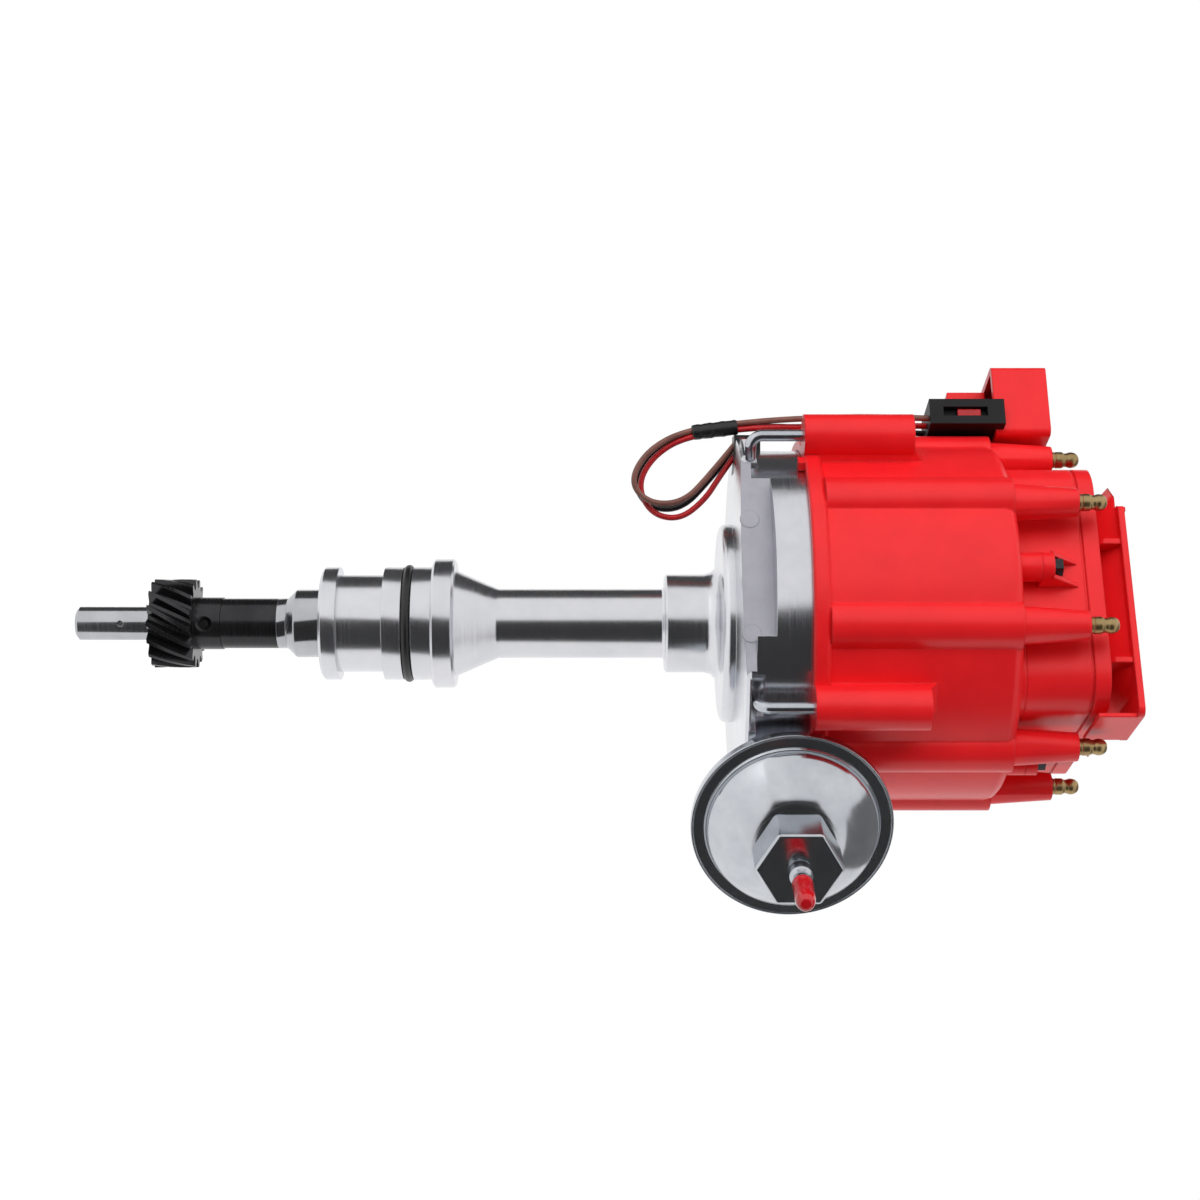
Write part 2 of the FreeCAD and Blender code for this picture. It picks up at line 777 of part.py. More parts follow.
def pickup_plate():
    """The plate that turns on the housing's boss, with the ear and pin for the pull rod."""
    z0 = PICKUP_PLATE_Z
    z1 = z0 + PICKUP_PLATE_T
    pin = rod_pin_place()
    angle = math.degrees(math.atan2(pin.y, pin.x))
    arm = turned_about_z(block(PICKUP_R - 4, pin.Length, -PICKUP_EAR_R, PICKUP_EAR_R, z0, z1), angle)
    plate = fused([rod(PICKUP_R, z0, z1), arm, rod(PICKUP_EAR_R, z0, z1, pin)])
    plate = plate.cut(rod(BOSS_R + RUNNING_GAP, z0 - 1, z1 + 1))
    return plate.fuse(rod(PICKUP_PIN_R, z0, CANISTER_Z + ROD_T / 2 + 1.5, pin))


def pickup_coil():
    """The pickup's winding in its bobbin."""
    z0 = PICKUP_PLATE_Z + PICKUP_PLATE_T
    top = z0 + COIL_RING_HEIGHT
    bore = COIL_RING_INNER_R + 1.2
    return faceted(
        [
            (bore, z0),
            (COIL_RING_OUTER_R, z0),
            (COIL_RING_OUTER_R, z0 + 1.2),
            (COIL_RING_OUTER_R - 1.0, z0 + 1.2),
            (COIL_RING_OUTER_R - 1.0, top - 1.2),
            (COIL_RING_OUTER_R, top - 1.2),
            (COIL_RING_OUTER_R, top),
            (bore, top),
        ],
        HUB_FACETS,
    )


def pickup_magnet():
    """The ring magnet between the plate and the pole piece."""
    z0 = PICKUP_PLATE_Z + PICKUP_PLATE_T
    return ring(PICKUP_R, MAGNET_INNER_R, z0, z0 + MAGNET_HEIGHT)


def pole_z():
    """The underside of the pole piece."""
    return PICKUP_PLATE_Z + PICKUP_PLATE_T + MAGNET_HEIGHT


def pole_piece():
    """The pole piece, with one inner tooth for each cylinder."""
    z0 = pole_z()
    z1 = z0 + POLE_T
    tip = CORE_TOOTH_R + AIR_GAP
    body = ring(PICKUP_R, MAGNET_INNER_R - 1.0, z0, z1)
    half = POLE_TOOTH_WIDTH / 2
    for index in range(POLE_TEETH):
        tooth = block(tip, MAGNET_INNER_R, -half, half, z0, z1)
        body = body.fuse(turned_about_z(tooth, 360 / POLE_TEETH * index))
    return body.cut(rod(tip, z0 - 1, z1 + 1)).removeSplitter()


def pickup_clip():
    """The flat clip that keeps the pickup plate on the boss."""
    z0 = PICKUP_PLATE_Z + PICKUP_PLATE_T + SLIDE_GAP
    body = ring(BOSS_R + 1.3, BOSS_R - 0.8, z0, z0 + CLIP_T)
    return body.cut(block(0, BOSS_R + 3, -3, 3, z0 - 1, z0 + CLIP_T + 1))


# Advance mechanism


def timer_core():
    """The toothed core on its tube, which turns on the shaft under the weight base."""
    z0 = pole_z()
    teeth = rod(CORE_DISC_R, z0, z0 + POLE_T)
    half = POLE_TOOTH_WIDTH / 2
    for index in range(POLE_TEETH):
        tooth = block(0, CORE_TOOTH_R + 1, -half, half, z0, z0 + POLE_T)
        teeth = teeth.fuse(turned_about_z(tooth, 360 / POLE_TEETH * (index + 0.5)))
    teeth = teeth.common(rod(CORE_TOOTH_R, z0, z0 + POLE_T))
    tube = rod(CORE_TUBE_R, BOSS_TOP_Z + LOOSE_GAP, WEIGHT_BASE_Z)
    body = teeth.fuse(tube)
    return body.cut(rod(SHAFT_R + RUNNING_GAP, BOSS_TOP_Z, WEIGHT_BASE_Z + 1)).removeSplitter()


def weight_pin_place(side):
    """Where one weight pivots; side is 0 or 1."""
    return polar(WEIGHT_PIN_PITCH_R, WEIGHT_PIN_ANGLE + 180 * side, 0)


def rotor_post_place(side):
    """Where one of the rotor's two feet stands."""
    return polar(ROTOR_POST_PITCH_R, ROTOR_POST_ANGLE + 180 * side, 0)


def weight_base():
    """The plate that carries the weights and the rotor."""
    z0 = WEIGHT_BASE_Z
    z1 = z0 + WEIGHT_BASE_T
    plate = rod(WEIGHT_BASE_R, z0, z1).cut(rod(CORE_TUBE_R - 1.4, z0 - 1, z1 + 1))
    for side in (0, 1):
        plate = plate.cut(rod(WEIGHT_PIN_R, z0 - 1, z1 + 1, weight_pin_place(side)))
        plate = plate.cut(rod(SCREW_R, z0 - 1, z1 + 1, rotor_post_place(side)))
    return plate


def spring_z():
    """The height of the two advance springs."""
    return WEIGHT_BASE_Z + WEIGHT_BASE_T + WEIGHT_T + ADVANCE_SPRING_R + ADVANCE_WIRE + 0.6


def weight_pins():
    """The two pins that the weights turn on, each with a waist for its spring."""
    top = spring_z() + 1.2
    return [rod(WEIGHT_PIN_R, WEIGHT_BASE_Z, top, weight_pin_place(side)) for side in (0, 1)]


def weight(side):
    """One governor weight, a kidney-shaped plate."""
    z0 = WEIGHT_BASE_Z + WEIGHT_BASE_T + SLIDE_GAP
    z1 = z0 + WEIGHT_T - 2 * SLIDE_GAP
    start = WEIGHT_PIN_ANGLE - 12
    sector = ring(WEIGHT_OUTER_R, WEIGHT_INNER_R, z0, z1)
    reach = 2 * WEIGHT_OUTER_R
    wedge = [(0, 0)]
    for step in range(3):
        corner = polar(reach, start + 42 * step, 0)
        wedge.append((corner.x, corner.y))
    body = sector.common(prism(wedge, z0 - 1, z1 + 1))
    body = body.cut(rod(WEIGHT_PIN_R + SLIDE_GAP, z0 - 1, z1 + 1, weight_pin_place(0)))
    return turned_about_z(body, 180 * side)


def cam_post_place(side):
    """Where a spring's inner end hooks on the cam."""
    return polar(CAM_HALF_LENGTH - 2.2, CAM_POST_ANGLE + 180 * side, 0)


def advance_cam():
    """The centre cam, fixed on top of the shaft, with the two posts for the springs."""
    z0 = WEIGHT_BASE_Z + WEIGHT_BASE_T + WEIGHT_T
    z1 = z0 + 1.8
    half = 5.0
    plate = prism(rectangle(-CAM_HALF_LENGTH, CAM_HALF_LENGTH, -half, half, 2.5), z0, z1)
    plate = turned_about_z(plate, CAM_POST_ANGLE)
    posts = [rod(CAM_POST_R, z0, spring_z() + 1.2, cam_post_place(side)) for side in (0, 1)]
    return fused([plate] + posts)


def advance_spring(side):
    """One tension spring from a weight pin to the cam, with straight ends."""
    outer = weight_pin_place(side) + Vec(0, 0, spring_z())
    inner = cam_post_place(side) + Vec(0, 0, spring_z())
    along = inner - outer
    length = along.Length
    direction = along.normalize()
    turns = 5
    coil_length = length * 0.5
    coil = spring(ADVANCE_SPRING_R, ADVANCE_WIRE, coil_length / turns, turns)
    start = outer + direction * (length - coil_length) / 2
    frame = placement(start, Vec(0, 0, 1), direction)
    tail_length = (length - coil_length) / 2
    wire_r = ADVANCE_WIRE / 2
    head_start = Vec(ADVANCE_SPRING_R, 0, WEIGHT_PIN_R - tail_length)
    head = Part.makeCylinder(wire_r, tail_length - WEIGHT_PIN_R, head_start)
    tail = Part.makeCylinder(wire_r, tail_length - CAM_POST_R, Vec(ADVANCE_SPRING_R, 0, coil_length))
    return moved(fused([coil, head, tail]), frame)


# Rotor


def rotor():
    """The rotor: a dish over the weights, a centre tower and the arm."""
    base_top = ROTOR_BASE_Z + ROTOR_BASE_T
    dish = faceted(
        [
            (0, ROTOR_BASE_Z),
            (ROTOR_BASE_R, ROTOR_BASE_Z, 0.8),
            (ROTOR_BASE_R, base_top, 0.8),
            (ROTOR_HUB_R + 2, base_top, 2.0),
            (ROTOR_HUB_R, ROTOR_TOP_Z, 1.0),
            (0, ROTOR_TOP_Z),
        ],
        HUB_FACETS,
    )
    arm_low = ELECTRODE_Z + 1.0
    arm_high = ELECTRODE_Z + 3.4
    arm = slab(
        [
            (0, base_top - 1),
            (ROTOR_BASE_R - 4, base_top - 1),
            (ROTOR_TIP_R - 4, arm_low),
            (ROTOR_TIP_R - 4, arm_high),
            (12, ROTOR_TOP_Z),
            (0, ROTOR_TOP_Z),
        ],
        -ROTOR_ARM_HALF,
        ROTOR_ARM_HALF,
    )
    body = dish.fuse(arm)
    foot_z = WEIGHT_BASE_Z + WEIGHT_BASE_T
    for side in (0, 1):
        place = rotor_post_place(side)
        body = body.fuse(rod(ROTOR_POST_R, foot_z, ROTOR_BASE_Z + 1, place))
    for side in (0, 1):
        place = rotor_post_place(side)
        body = body.cut(rod(SCREW_R, foot_z - 1, base_top + 1, place))
    return body.removeSplitter()


def rotor_screws():
    """The two screws that hold the rotor on the weight base."""
    base_top = ROTOR_BASE_Z + ROTOR_BASE_T
    return [
        fused(
            [
                rod(SCREW_R, WEIGHT_BASE_Z, base_top, rotor_post_place(side)),
                rod(SCREW_HEAD_R, base_top, base_top + 2.0, rotor_post_place(side)),
            ]
        )
        for side in (0, 1)
    ]


def button_bottom_z():
    """The lower end of the carbon button, which rests on the rotor contact."""
    return CENTRE_BOSS_Z - BUTTON_TRAVEL - 1.0


def rotor_contact():
    """The strip from under the button, down the arm, to the rotor's tip."""
    low = ROTOR_TOP_Z
    tip_low = ELECTRODE_Z + 3.4
    slope = (ROTOR_TOP_Z - tip_low) / (12 - (ROTOR_TIP_R - 4))
    strip = CONTACT_T
    corners = [
        (-5, low),
        (12, low),
        (ROTOR_TIP_R - 4, tip_low),
        (ROTOR_TIP_R, tip_low),
        (ROTOR_TIP_R, tip_low + strip),
        (ROTOR_TIP_R - 4, tip_low + strip),
        (12 - strip * slope * 0.3, low + strip),
        (-5, low + strip),
    ]
    raised = slab(
        [
            (-5, low + strip),
            (-3.5, low + strip),
            (1.0, button_bottom_z() - 1.0),
            (4, button_bottom_z() - 1.0),
            (4, button_bottom_z()),
            (-0.5, button_bottom_z()),
        ],
        -CONTACT_HALF,
        CONTACT_HALF,
    )
    return slab(corners, -CONTACT_HALF, CONTACT_HALF).fuse(raised)


# Cap


def cap_button():
    """The carbon button that slides in the cap's centre boss."""
    z0 = button_bottom_z()
    return rod(BUTTON_R, z0, z0 + BUTTON_LENGTH)


def button_spring():
    """The spring above the carbon button."""
    z0 = button_bottom_z() + BUTTON_LENGTH
    wire = 0.5
    height = BUTTON_BORE_TOP_Z - z0 - wire
    coil = spring(BUTTON_R - 1.0, wire, height / 3, 3)
    coil.translate(Vec(0, 0, z0 + wire / 2))
    return coil


def tower_angles():
    """The angles of the plug towers."""
    return [360 / TOWER_COUNT * index for index in range(TOWER_COUNT)]


def terminal():
    """One plug terminal, its shank and its inner electrode, on the X side."""
    top = TOWER_TOP_Z
    neck = TERMINAL_R - TERMINAL_WAIST
    head = faceted(
        [
            (0, top + TERMINAL_BARREL),
            (TERMINAL_R - 0.3, top + TERMINAL_BARREL),
            (neck, top + TERMINAL_BARREL + 1.0),
            (neck, top + TERMINAL_BARREL + 2.4),
            (TERMINAL_R, top + TERMINAL_BARREL + 3.6),
            (TERMINAL_R, top + TERMINAL_BARREL + 4.8),
            (neck * 0.55, top + TERMINAL_LENGTH),
            (0, top + TERMINAL_LENGTH),
        ],
        TERMINAL_FACETS,
    )
    barrel = rod(TERMINAL_R, top, top + TERMINAL_BARREL)
    shank = rod(SHANK_PIN_R, ELECTRODE_Z + 1, top)
    head = fused([barrel, head, shank])
    head.translate(Vec(TOWER_PITCH_R, 0, 0))
    half = ELECTRODE_WIDTH / 2
    top_z = ELECTRODE_Z + ELECTRODE_HEIGHT
    electrode = block(ELECTRODE_INNER_R, TOWER_PITCH_R, -half, half, ELECTRODE_Z, top_z)
    return fused([head, electrode])


def cap_terminals():
    """All the plug terminals."""
    return [turned_about_z(terminal(), angle) for angle in tower_angles()]


def cover_outline(inset):
    """The coil cover's outline in cover directions, shrunk by an inset."""
    return rectangle(
        COVER_REAR_U + inset,
        COVER_FRONT_U - inset,
        -COVER_HALF_V + inset,
        COVER_HALF_V - inset,
        COVER_CORNER - min(inset, COVER_CORNER * 0.7),
    )


def coil_screw_places():
    """The four coil screws, in cover directions."""
    return [Vec(u * COIL_SCREW_U, v * COIL_SCREW_V, 0) for u in (-1, 1) for v in (-1, 1)]


def lug_places():
    """The cover's fixing lugs, in cover directions: one on each long side and one at the rear."""
    return [Vec(0, LUG_V, 0), Vec(0, -LUG_V, 0), Vec(COVER_REAR_U - LUG_V + COVER_HALF_V, 0, 0)]


def cap_lobes():
    """The four latch lobes with their webs, before boring."""
    pieces = []
    for angle in LATCH_ANGLES:
        centre = polar(LATCH_PITCH_R, angle, 0)
        lobe = rod(LOBE_R, CAP_SKIRT_BOTTOM_Z, LOBE_TOP_Z, centre)
        half = LOBE_WEB / 2
        web = slab(
            [
                (CAP_R - 6, CAP_SKIRT_BOTTOM_Z),
                (LATCH_PITCH_R, CAP_SKIRT_BOTTOM_Z),
                (LATCH_PITCH_R, LOBE_TOP_Z - 2),
                (CAP_R - 1, LOBE_TOP_Z + 4),
                (CAP_R - 6, LOBE_TOP_Z + 4),
            ],
            -half,
            half,
        )
        pieces.append(lobe)
        pieces.append(turned_about_z(web, angle))
    return pieces


def cap_block():
    """The connector block under the hood, with its sloping lower face."""
    corners = [
        (CAP_R - 6, BLOCK_BOTTOM_Z - 14),
        (CAP_R + 2, BLOCK_BOTTOM_Z - 12),
        (HOOD_START_U + 6, BLOCK_BOTTOM_Z),
        (BLOCK_END_U, BLOCK_BOTTOM_Z + 3),
        (BLOCK_END_U, COVER_SEAT_Z),
        (CAP_R - 6, COVER_SEAT_Z),
    ]
    return moved(slab(corners, BLOCK_FAR_V, BLOCK_NEAR_V), COVER_FRAME)


def blade_sockets():
    """The two sockets for blade connectors in the block's lower face."""
    pieces = []
    for v in SOCKET_VS:
        socket = block(
            SOCKET_U - SOCKET_HALF_U,
            SOCKET_U + SOCKET_HALF_U,
            v - SOCKET_HALF_V,
            v + SOCKET_HALF_V,
            BLOCK_BOTTOM_Z - 6,
            COVER_SEAT_Z - 3,
        )
        pieces.append(moved(socket, COVER_FRAME))
    return pieces


def distributor_cap():
    """The moulded cap: body, ribs, towers, latch lobes and connector block."""
    body = turned(
        [
            (0, CAP_SKIRT_BOTTOM_Z),
            (CAP_SKIRT_R, CAP_SKIRT_BOTTOM_Z, 0.6),
            (CAP_SKIRT_R, CAP_SKIRT_TOP_Z, 1.0),
            (CAP_R, CAP_SKIRT_TOP_Z),
            (CAP_R, CAP_TOP_Z, CAP_SHOULDER),
            (0, CAP_TOP_Z),
        ]
    )
    outside = []
    for angle in tower_angles():
        centre = polar(TOWER_PITCH_R, angle, 0)
        outside.append(rod(RIB_R, CAP_SKIRT_TOP_Z, CAP_TOP_Z - 1, centre))
        tower = faceted(
            [
                (0, CAP_TOP_Z - 2),
                (TOWER_BASE_R, CAP_TOP_Z - 2),
                (TOWER_TIP_R, TOWER_TOP_Z),
                (0, TOWER_TOP_Z),
            ],
            SMALL_FACETS,
        )
        tower.translate(centre)
        outside.append(tower)
    outside += cap_lobes()
    tab_z = CAP_SKIRT_BOTTOM_Z - TAB_DROP
    tab = block(WALL_R, CAP_SKIRT_R - 0.5, -TAB_HALF_WIDTH, TAB_HALF_WIDTH, tab_z, CAP_SKIRT_TOP_Z)
    outside.append(turned_about_z(tab, TAB_ANGLE))
    outside.append(cap_block())
    outside.append(moved(prism(cover_outline(0), CAP_TOP_Z - 1, COVER_SEAT_Z), COVER_FRAME))
    for place in lug_places():
        boss = fused(
            [
                rod(LUG_R, CAP_TOP_Z - 1, LUG_SEAT_Z, place),
                block(-LUG_R, LUG_R, -LUG_R, 0, CAP_TOP_Z - 1, COVER_SEAT_Z),
            ]
        )
        outside.append(moved(boss, COVER_FRAME))
    body = fused([body] + outside)
    inner = turned(
        [
            (0, CAP_SKIRT_BOTTOM_Z - 2 * TAB_DROP),
            (WALL_R + LOOSE_GAP, CAP_SKIRT_BOTTOM_Z - 2 * TAB_DROP),
            (WALL_R + LOOSE_GAP, RIM_Z),
            (CAP_INNER_R, RIM_Z),
            (CAP_INNER_R, CAP_STEP_Z),
            (CAP_UPPER_INNER_R, CAP_STEP_Z),
            (CAP_UPPER_INNER_R, CAP_TOP_Z - CAP_TOP_T, 3.0),
            (0, CAP_TOP_Z - CAP_TOP_T),
        ]
    )
    body = body.cut(inner)
    boss = rod(CENTRE_BOSS_R, CENTRE_BOSS_Z, CAP_TOP_Z - 1)
    well = moved(prism(cover_outline(COVER_WALL + LOOSE_GAP), CAP_TOP_Z, COVER_SEAT_Z + 1), COVER_FRAME)
    body = body.cut(well).fuse(boss)
    for place in coil_screw_places():
        body = body.fuse(moved(rod(4.6, CAP_TOP_Z - 1, COIL_LAMINATION_Z, place), COVER_FRAME))
    body = body.cut(rod(BUTTON_R + SLIDE_GAP, CENTRE_BOSS_Z - 1, BUTTON_BORE_TOP_Z))
    for place in coil_screw_places():
        body = body.cut(moved(rod(SCREW_R, CAP_TOP_Z - 1, COIL_LAMINATION_Z + 1, place), COVER_FRAME))
    for place in lug_places():
        body = body.cut(moved(rod(SCREW_R, CAP_TOP_Z, LUG_SEAT_Z + 1, place), COVER_FRAME))
    for angle in LATCH_ANGLES:
        centre = polar(LATCH_PITCH_R, angle, 0)
        body = body.cut(rod(LATCH_ROD_R + SLIDE_GAP, CAP_SKIRT_BOTTOM_Z - 1, LOBE_TOP_Z + 1, centre))
        body = body.cut(rod(LATCH_HEAD_R + LOOSE_GAP, LATCH_BORE_FLOOR_Z, LOBE_TOP_Z + 1, centre))
    for piece in blade_sockets() + cap_terminals():
        body = body.cut(piece)
    return body.removeSplitter()


def round_section(centre, spoke, radius):
    """Points round a bent rod in the XZ plane, where a spoke from the bend's centre meets it."""
    points = []
    for index in range(SMALL_FACETS):
        angle = math.radians(360 / SMALL_FACETS * index)
        points.append(centre + spoke * (radius * math.cos(angle)) + Vec(0, radius * math.sin(angle), 0))
    return points


def latch(angle):
    """One hook latch: slotted head, rod and bent foot."""
    top = LOBE_TOP_Z - LATCH_HEAD_SINK
    head = rod(LATCH_HEAD_R, top - LATCH_HEAD_T, top)
    slot = block(-LATCH_HEAD_R, LATCH_HEAD_R, -LATCH_SLOT / 2, LATCH_SLOT / 2, top - 1.6, top + 1)
    bend_z = LATCH_FOOT_Z + LATCH_BEND_R
    stem = rod(LATCH_ROD_R, bend_z, top - LATCH_HEAD_T + 1)
    sections = []
    for turn in (0, 30, 60, 90):
        spoke = Vec(math.cos(math.radians(turn)), 0, -math.sin(math.radians(turn)))
        centre = Vec(-LATCH_BEND_R, 0, bend_z) + spoke * LATCH_BEND_R
        sections.append(round_section(centre, spoke, LATCH_ROD_R))
    tip = Vec(LATCH_ROD_R - LATCH_FOOT_REACH, 0, LATCH_FOOT_Z)
    sections.append(round_section(tip, Vec(0, 0, -1), LATCH_ROD_R))
    foot = skinned(sections)
    body = fused([head.cut(slot), stem, foot])
    body.translate(Vec(LATCH_PITCH_R, 0, 0))
    return turned_about_z(body, angle)


def latch_springs():
    """The springs under the latch heads."""
    pieces = []
    wire = 2 * LATCH_SPRING_WIRE_R
    low = LATCH_BORE_FLOOR_Z
    high = LOBE_TOP_Z - LATCH_HEAD_SINK - LATCH_HEAD_T
    height = high - low - wire
    for angle in LATCH_ANGLES:
        coil = spring(LATCH_ROD_R + 1.6, wire, height / 3, 3)
        coil.translate(polar(LATCH_PITCH_R, angle, low + wire / 2))
        pieces.append(coil)
    return pieces


# Coil and cover


def coil_core():
    """The coil's laminated core, a frame with a centre leg."""
    z0 = COIL_LAMINATION_Z
    z1 = z0 + COIL_LAMINATION_T
    frame = block(-COIL_HALF_U, COIL_HALF_U, -COIL_HALF_V, COIL_HALF_V, z0, z1)
    window = block(
        -COIL_WINDOW_HALF_U,
        COIL_WINDOW_HALF_U,
        -COIL_WINDOW_HALF_V,
        COIL_WINDOW_HALF_V,
        z0 - 1,
        z1 + 1,
    )
    leg = block(-COIL_HALF_U + 1, COIL_HALF_U - 1, -COIL_LEG_HALF, COIL_LEG_HALF, z0, z1)
    body = frame.cut(window).fuse(leg)
    for place in coil_screw_places():
        body = body.cut(rod(SCREW_R, z0 - 1, z1 + 1, place))
    return moved(body.removeSplitter(), COVER_FRAME)


def coil_winding():
    """The coil's winding around the centre leg."""
    z0 = COIL_LAMINATION_Z - WINDING_OVERHANG
    z1 = COIL_LAMINATION_Z + COIL_LAMINATION_T + WINDING_OVERHANG
    half_u = COIL_WINDOW_HALF_U - LOOSE_GAP
    half_v = COIL_WINDOW_HALF_V - LOOSE_GAP
    body = prism(rectangle(-half_u, half_u, -half_v, half_v, 3.0), z0, z1)
    leg = block(
        -COIL_HALF_U,
        COIL_HALF_U,
        -COIL_LEG_HALF,
        COIL_LEG_HALF,
        COIL_LAMINATION_Z,
        COIL_LAMINATION_Z + COIL_LAMINATION_T,
    )
    return moved(body.cut(leg), COVER_FRAME)


def coil_seal():
    """The rubber seal between coil and cap."""
    return ring(SEAL_R, SEAL_HOLE_R, CAP_TOP_Z, COIL_LAMINATION_Z - WINDING_OVERHANG)


def coil_screws():
    """The four screws that hold the coil in the cap."""
    top = COIL_LAMINATION_Z + COIL_LAMINATION_T
    return [
        moved(
            fused(
                [
                    rod(SCREW_R, CAP_TOP_Z, top + 0.5, place),
                    rod(SCREW_HEAD_R, top, top + 2.4, place),
                ]
            ),
            COVER_FRAME,
        )
        for place in coil_screw_places()
    ]


def cover_ring(inset, z):
    """The cover's outline with cut corners, shrunk by an inset, as points at one height."""
    u0 = COVER_REAR_U + inset
    u1 = COVER_FRONT_U - inset
    v = COVER_HALF_V - inset
    cut = COVER_CORNER / 2
    places = [
        (u0, v - cut),
        (u0, -v + cut),
        (u0 + cut, -v),
        (u1 - cut, -v),
        (u1, -v + cut),
        (u1, v - cut),
        (u1 - cut, v),
        (u0 + cut, v),
    ]
    return [Vec(x, y, z) for x, y in places]


def cover_shell():
    """The coil cover's walls, its ledge and the raised part that leans out again to the top flange."""
    lower = prism(cover_outline(0), COVER_SEAT_Z, COVER_LEDGE_Z)
    groove = prism(cover_outline(-1), COVER_GROOVE_Z - 0.5, COVER_GROOVE_Z + 0.5)
    groove = groove.cut(prism(cover_outline(0.7), COVER_GROOVE_Z - 1, COVER_GROOVE_Z + 1))
    raised = skinned([cover_ring(COVER_INSET, COVER_LEDGE_Z - 1), cover_ring(COVER_TOP_INSET, COVER_TOP_Z)])
    inside = prism(cover_outline(COVER_WALL), COVER_SEAT_Z - 1, COVER_LEDGE_Z - COVER_WALL)
    well_inset = COVER_INSET + COVER_WALL
    well = skinned(
        [
            cover_ring(well_inset, COVER_LEDGE_Z - COVER_WALL - 1),
            cover_ring(well_inset, COVER_TOP_Z - COVER_TOP_T),
        ]
    )
    rear = COVER_REAR_U - FLANGE_OVERHANG
    half = COVER_HALF_V - 2.5
    top = COVER_TOP_Z + COVER_TOP_T
    flange = prism(rectangle(rear, FLANGE_FRONT_U, FLANGE_INNER_V, half, 3.0), COVER_TOP_Z, top)
    lip_u = FLANGE_FRONT_U - FLANGE_LIP_T
    lip = block(lip_u, FLANGE_FRONT_U, FLANGE_INNER_V + 3, half - 3, COVER_TOP_Z, top + FLANGE_LIP)
    plate = block(rear, rear + FLANGE_LIP_T, FLANGE_INNER_V + 3, half - 3, COVER_GROOVE_Z + 1.5, top)
    body = fused([lower.cut(groove), raised, flange, lip, plate])
    return body.cut(inside).cut(well)


def cover_fins():
    """The gussets between the ledge and the top flange, on its one side."""
    fins = []
    near = COVER_HALF_V - COVER_INSET - 1
    far = COVER_HALF_V - 3.5
    low = COVER_LEDGE_Z - 0.5
    high = COVER_TOP_Z + 0.5
    half = FIN_T / 2
    corners = [(near, low), (far - 3, low), (far, low + 3), (far, high), (near, high)]
    for u in FIN_US:
        turned_sideways = placement(Vec(0, 0, 0), Vec(0, 1, 0), Vec(0, 0, 1))
        fins.append(moved(slab(corners, -u - half, -u + half), turned_sideways))
    return fins


def cover_hood():
    """The hood over the connectors: a narrow neck between two towers, then the wide head."""
    neck = block(
        COVER_FRONT_U - 4,
        HOOD_START_U + 3,
        -HOOD_NECK_HALF_V,
        HOOD_NECK_HALF_V,
        COVER_SEAT_Z,
        HOOD_TOP_Z,
    )
    head = prism(
        rectangle(HOOD_START_U, HOOD_END_U, -HOOD_HALF_V, HOOD_HALF_V, 2.5),
        COVER_SEAT_Z,
        HOOD_TOP_Z,
    )
    tunnel = block(
        COVER_FRONT_U - 5,
        HOOD_START_U + 3,
        -HOOD_NECK_HALF_V + COVER_WALL,
        HOOD_NECK_HALF_V - COVER_WALL,
        COVER_SEAT_Z - 1,
        HOOD_TOP_Z - COVER_WALL,
    )
    room = prism(
        rectangle(
            HOOD_START_U + COVER_WALL,
            HOOD_END_U - COVER_WALL,
            -HOOD_HALF_V + COVER_WALL,
            HOOD_HALF_V - COVER_WALL,
            1.0,
        ),
        COVER_SEAT_Z - 1,
        HOOD_TOP_Z - COVER_WALL,
    )
    return [neck, head], [tunnel, room]


def lug_top_z():
    """The top face of a cover lug."""
    return LUG_SEAT_Z + LUG_T


def coil_cover():
    """The coil cover with its hood, fins and fixing lugs."""
    shell = cover_shell()
    solids, hollows = cover_hood()
    body = fused([shell] + cover_fins() + solids)
    for hollow in hollows:
        body = body.cut(hollow)
    z0 = LUG_SEAT_Z
    z1 = lug_top_z()
    for place in lug_places():
        angle = math.degrees(math.atan2(place.y, place.x))
        reach = place.Length
        pad = block(reach - LUG_R - 4, reach, -LUG_R, LUG_R, z0, z1)
        wall = reach - LUG_R - 2.2
        gusset_corners = [(wall, z1 - 0.5), (reach + 2.5, z1 - 0.5), (wall, COVER_GROOVE_Z - 1)]
        lug = fused(
            [
                pad,
                rod(LUG_R, z0, z1, Vec(reach, 0, 0)),
                slab(gusset_corners, LUG_R - 1.6, LUG_R),
                slab(gusset_corners, -LUG_R, -LUG_R + 1.6),
            ]
        )
        lug = turned_about_z(lug, angle)
        body = body.fuse(lug)
    inside = prism(cover_outline(COVER_WALL), COVER_SEAT_Z - 1, COVER_LEDGE_Z - COVER_WALL)
    body = body.cut(inside)
    for place in lug_places():
        body = body.cut(rod(SCREW_R, z0 - 1, z1 + 1, place))
        body = body.cut(rod(LUG_R + 0.2, COVER_SEAT_Z - 1, z0, place))
    return moved(body.removeSplitter(), COVER_FRAME)


def coil_cover_screws():
    """The black hexagon-head screws through the cover's lugs."""
    pieces = []
    top = lug_top_z()
    for place in lug_places():
        head = hexagon(2 * SCREW_HEAD_R * math.cos(math.radians(30)), top, top + SCREW_HEAD_T)
        head.translate(Vec(place.x, place.y, 0))
        screw = fused([head, rod(SCREW_R, CAP_TOP_Z + 1, top + 1, place)])
        pieces.append(moved(screw, COVER_FRAME))
    return pieces


# Harness


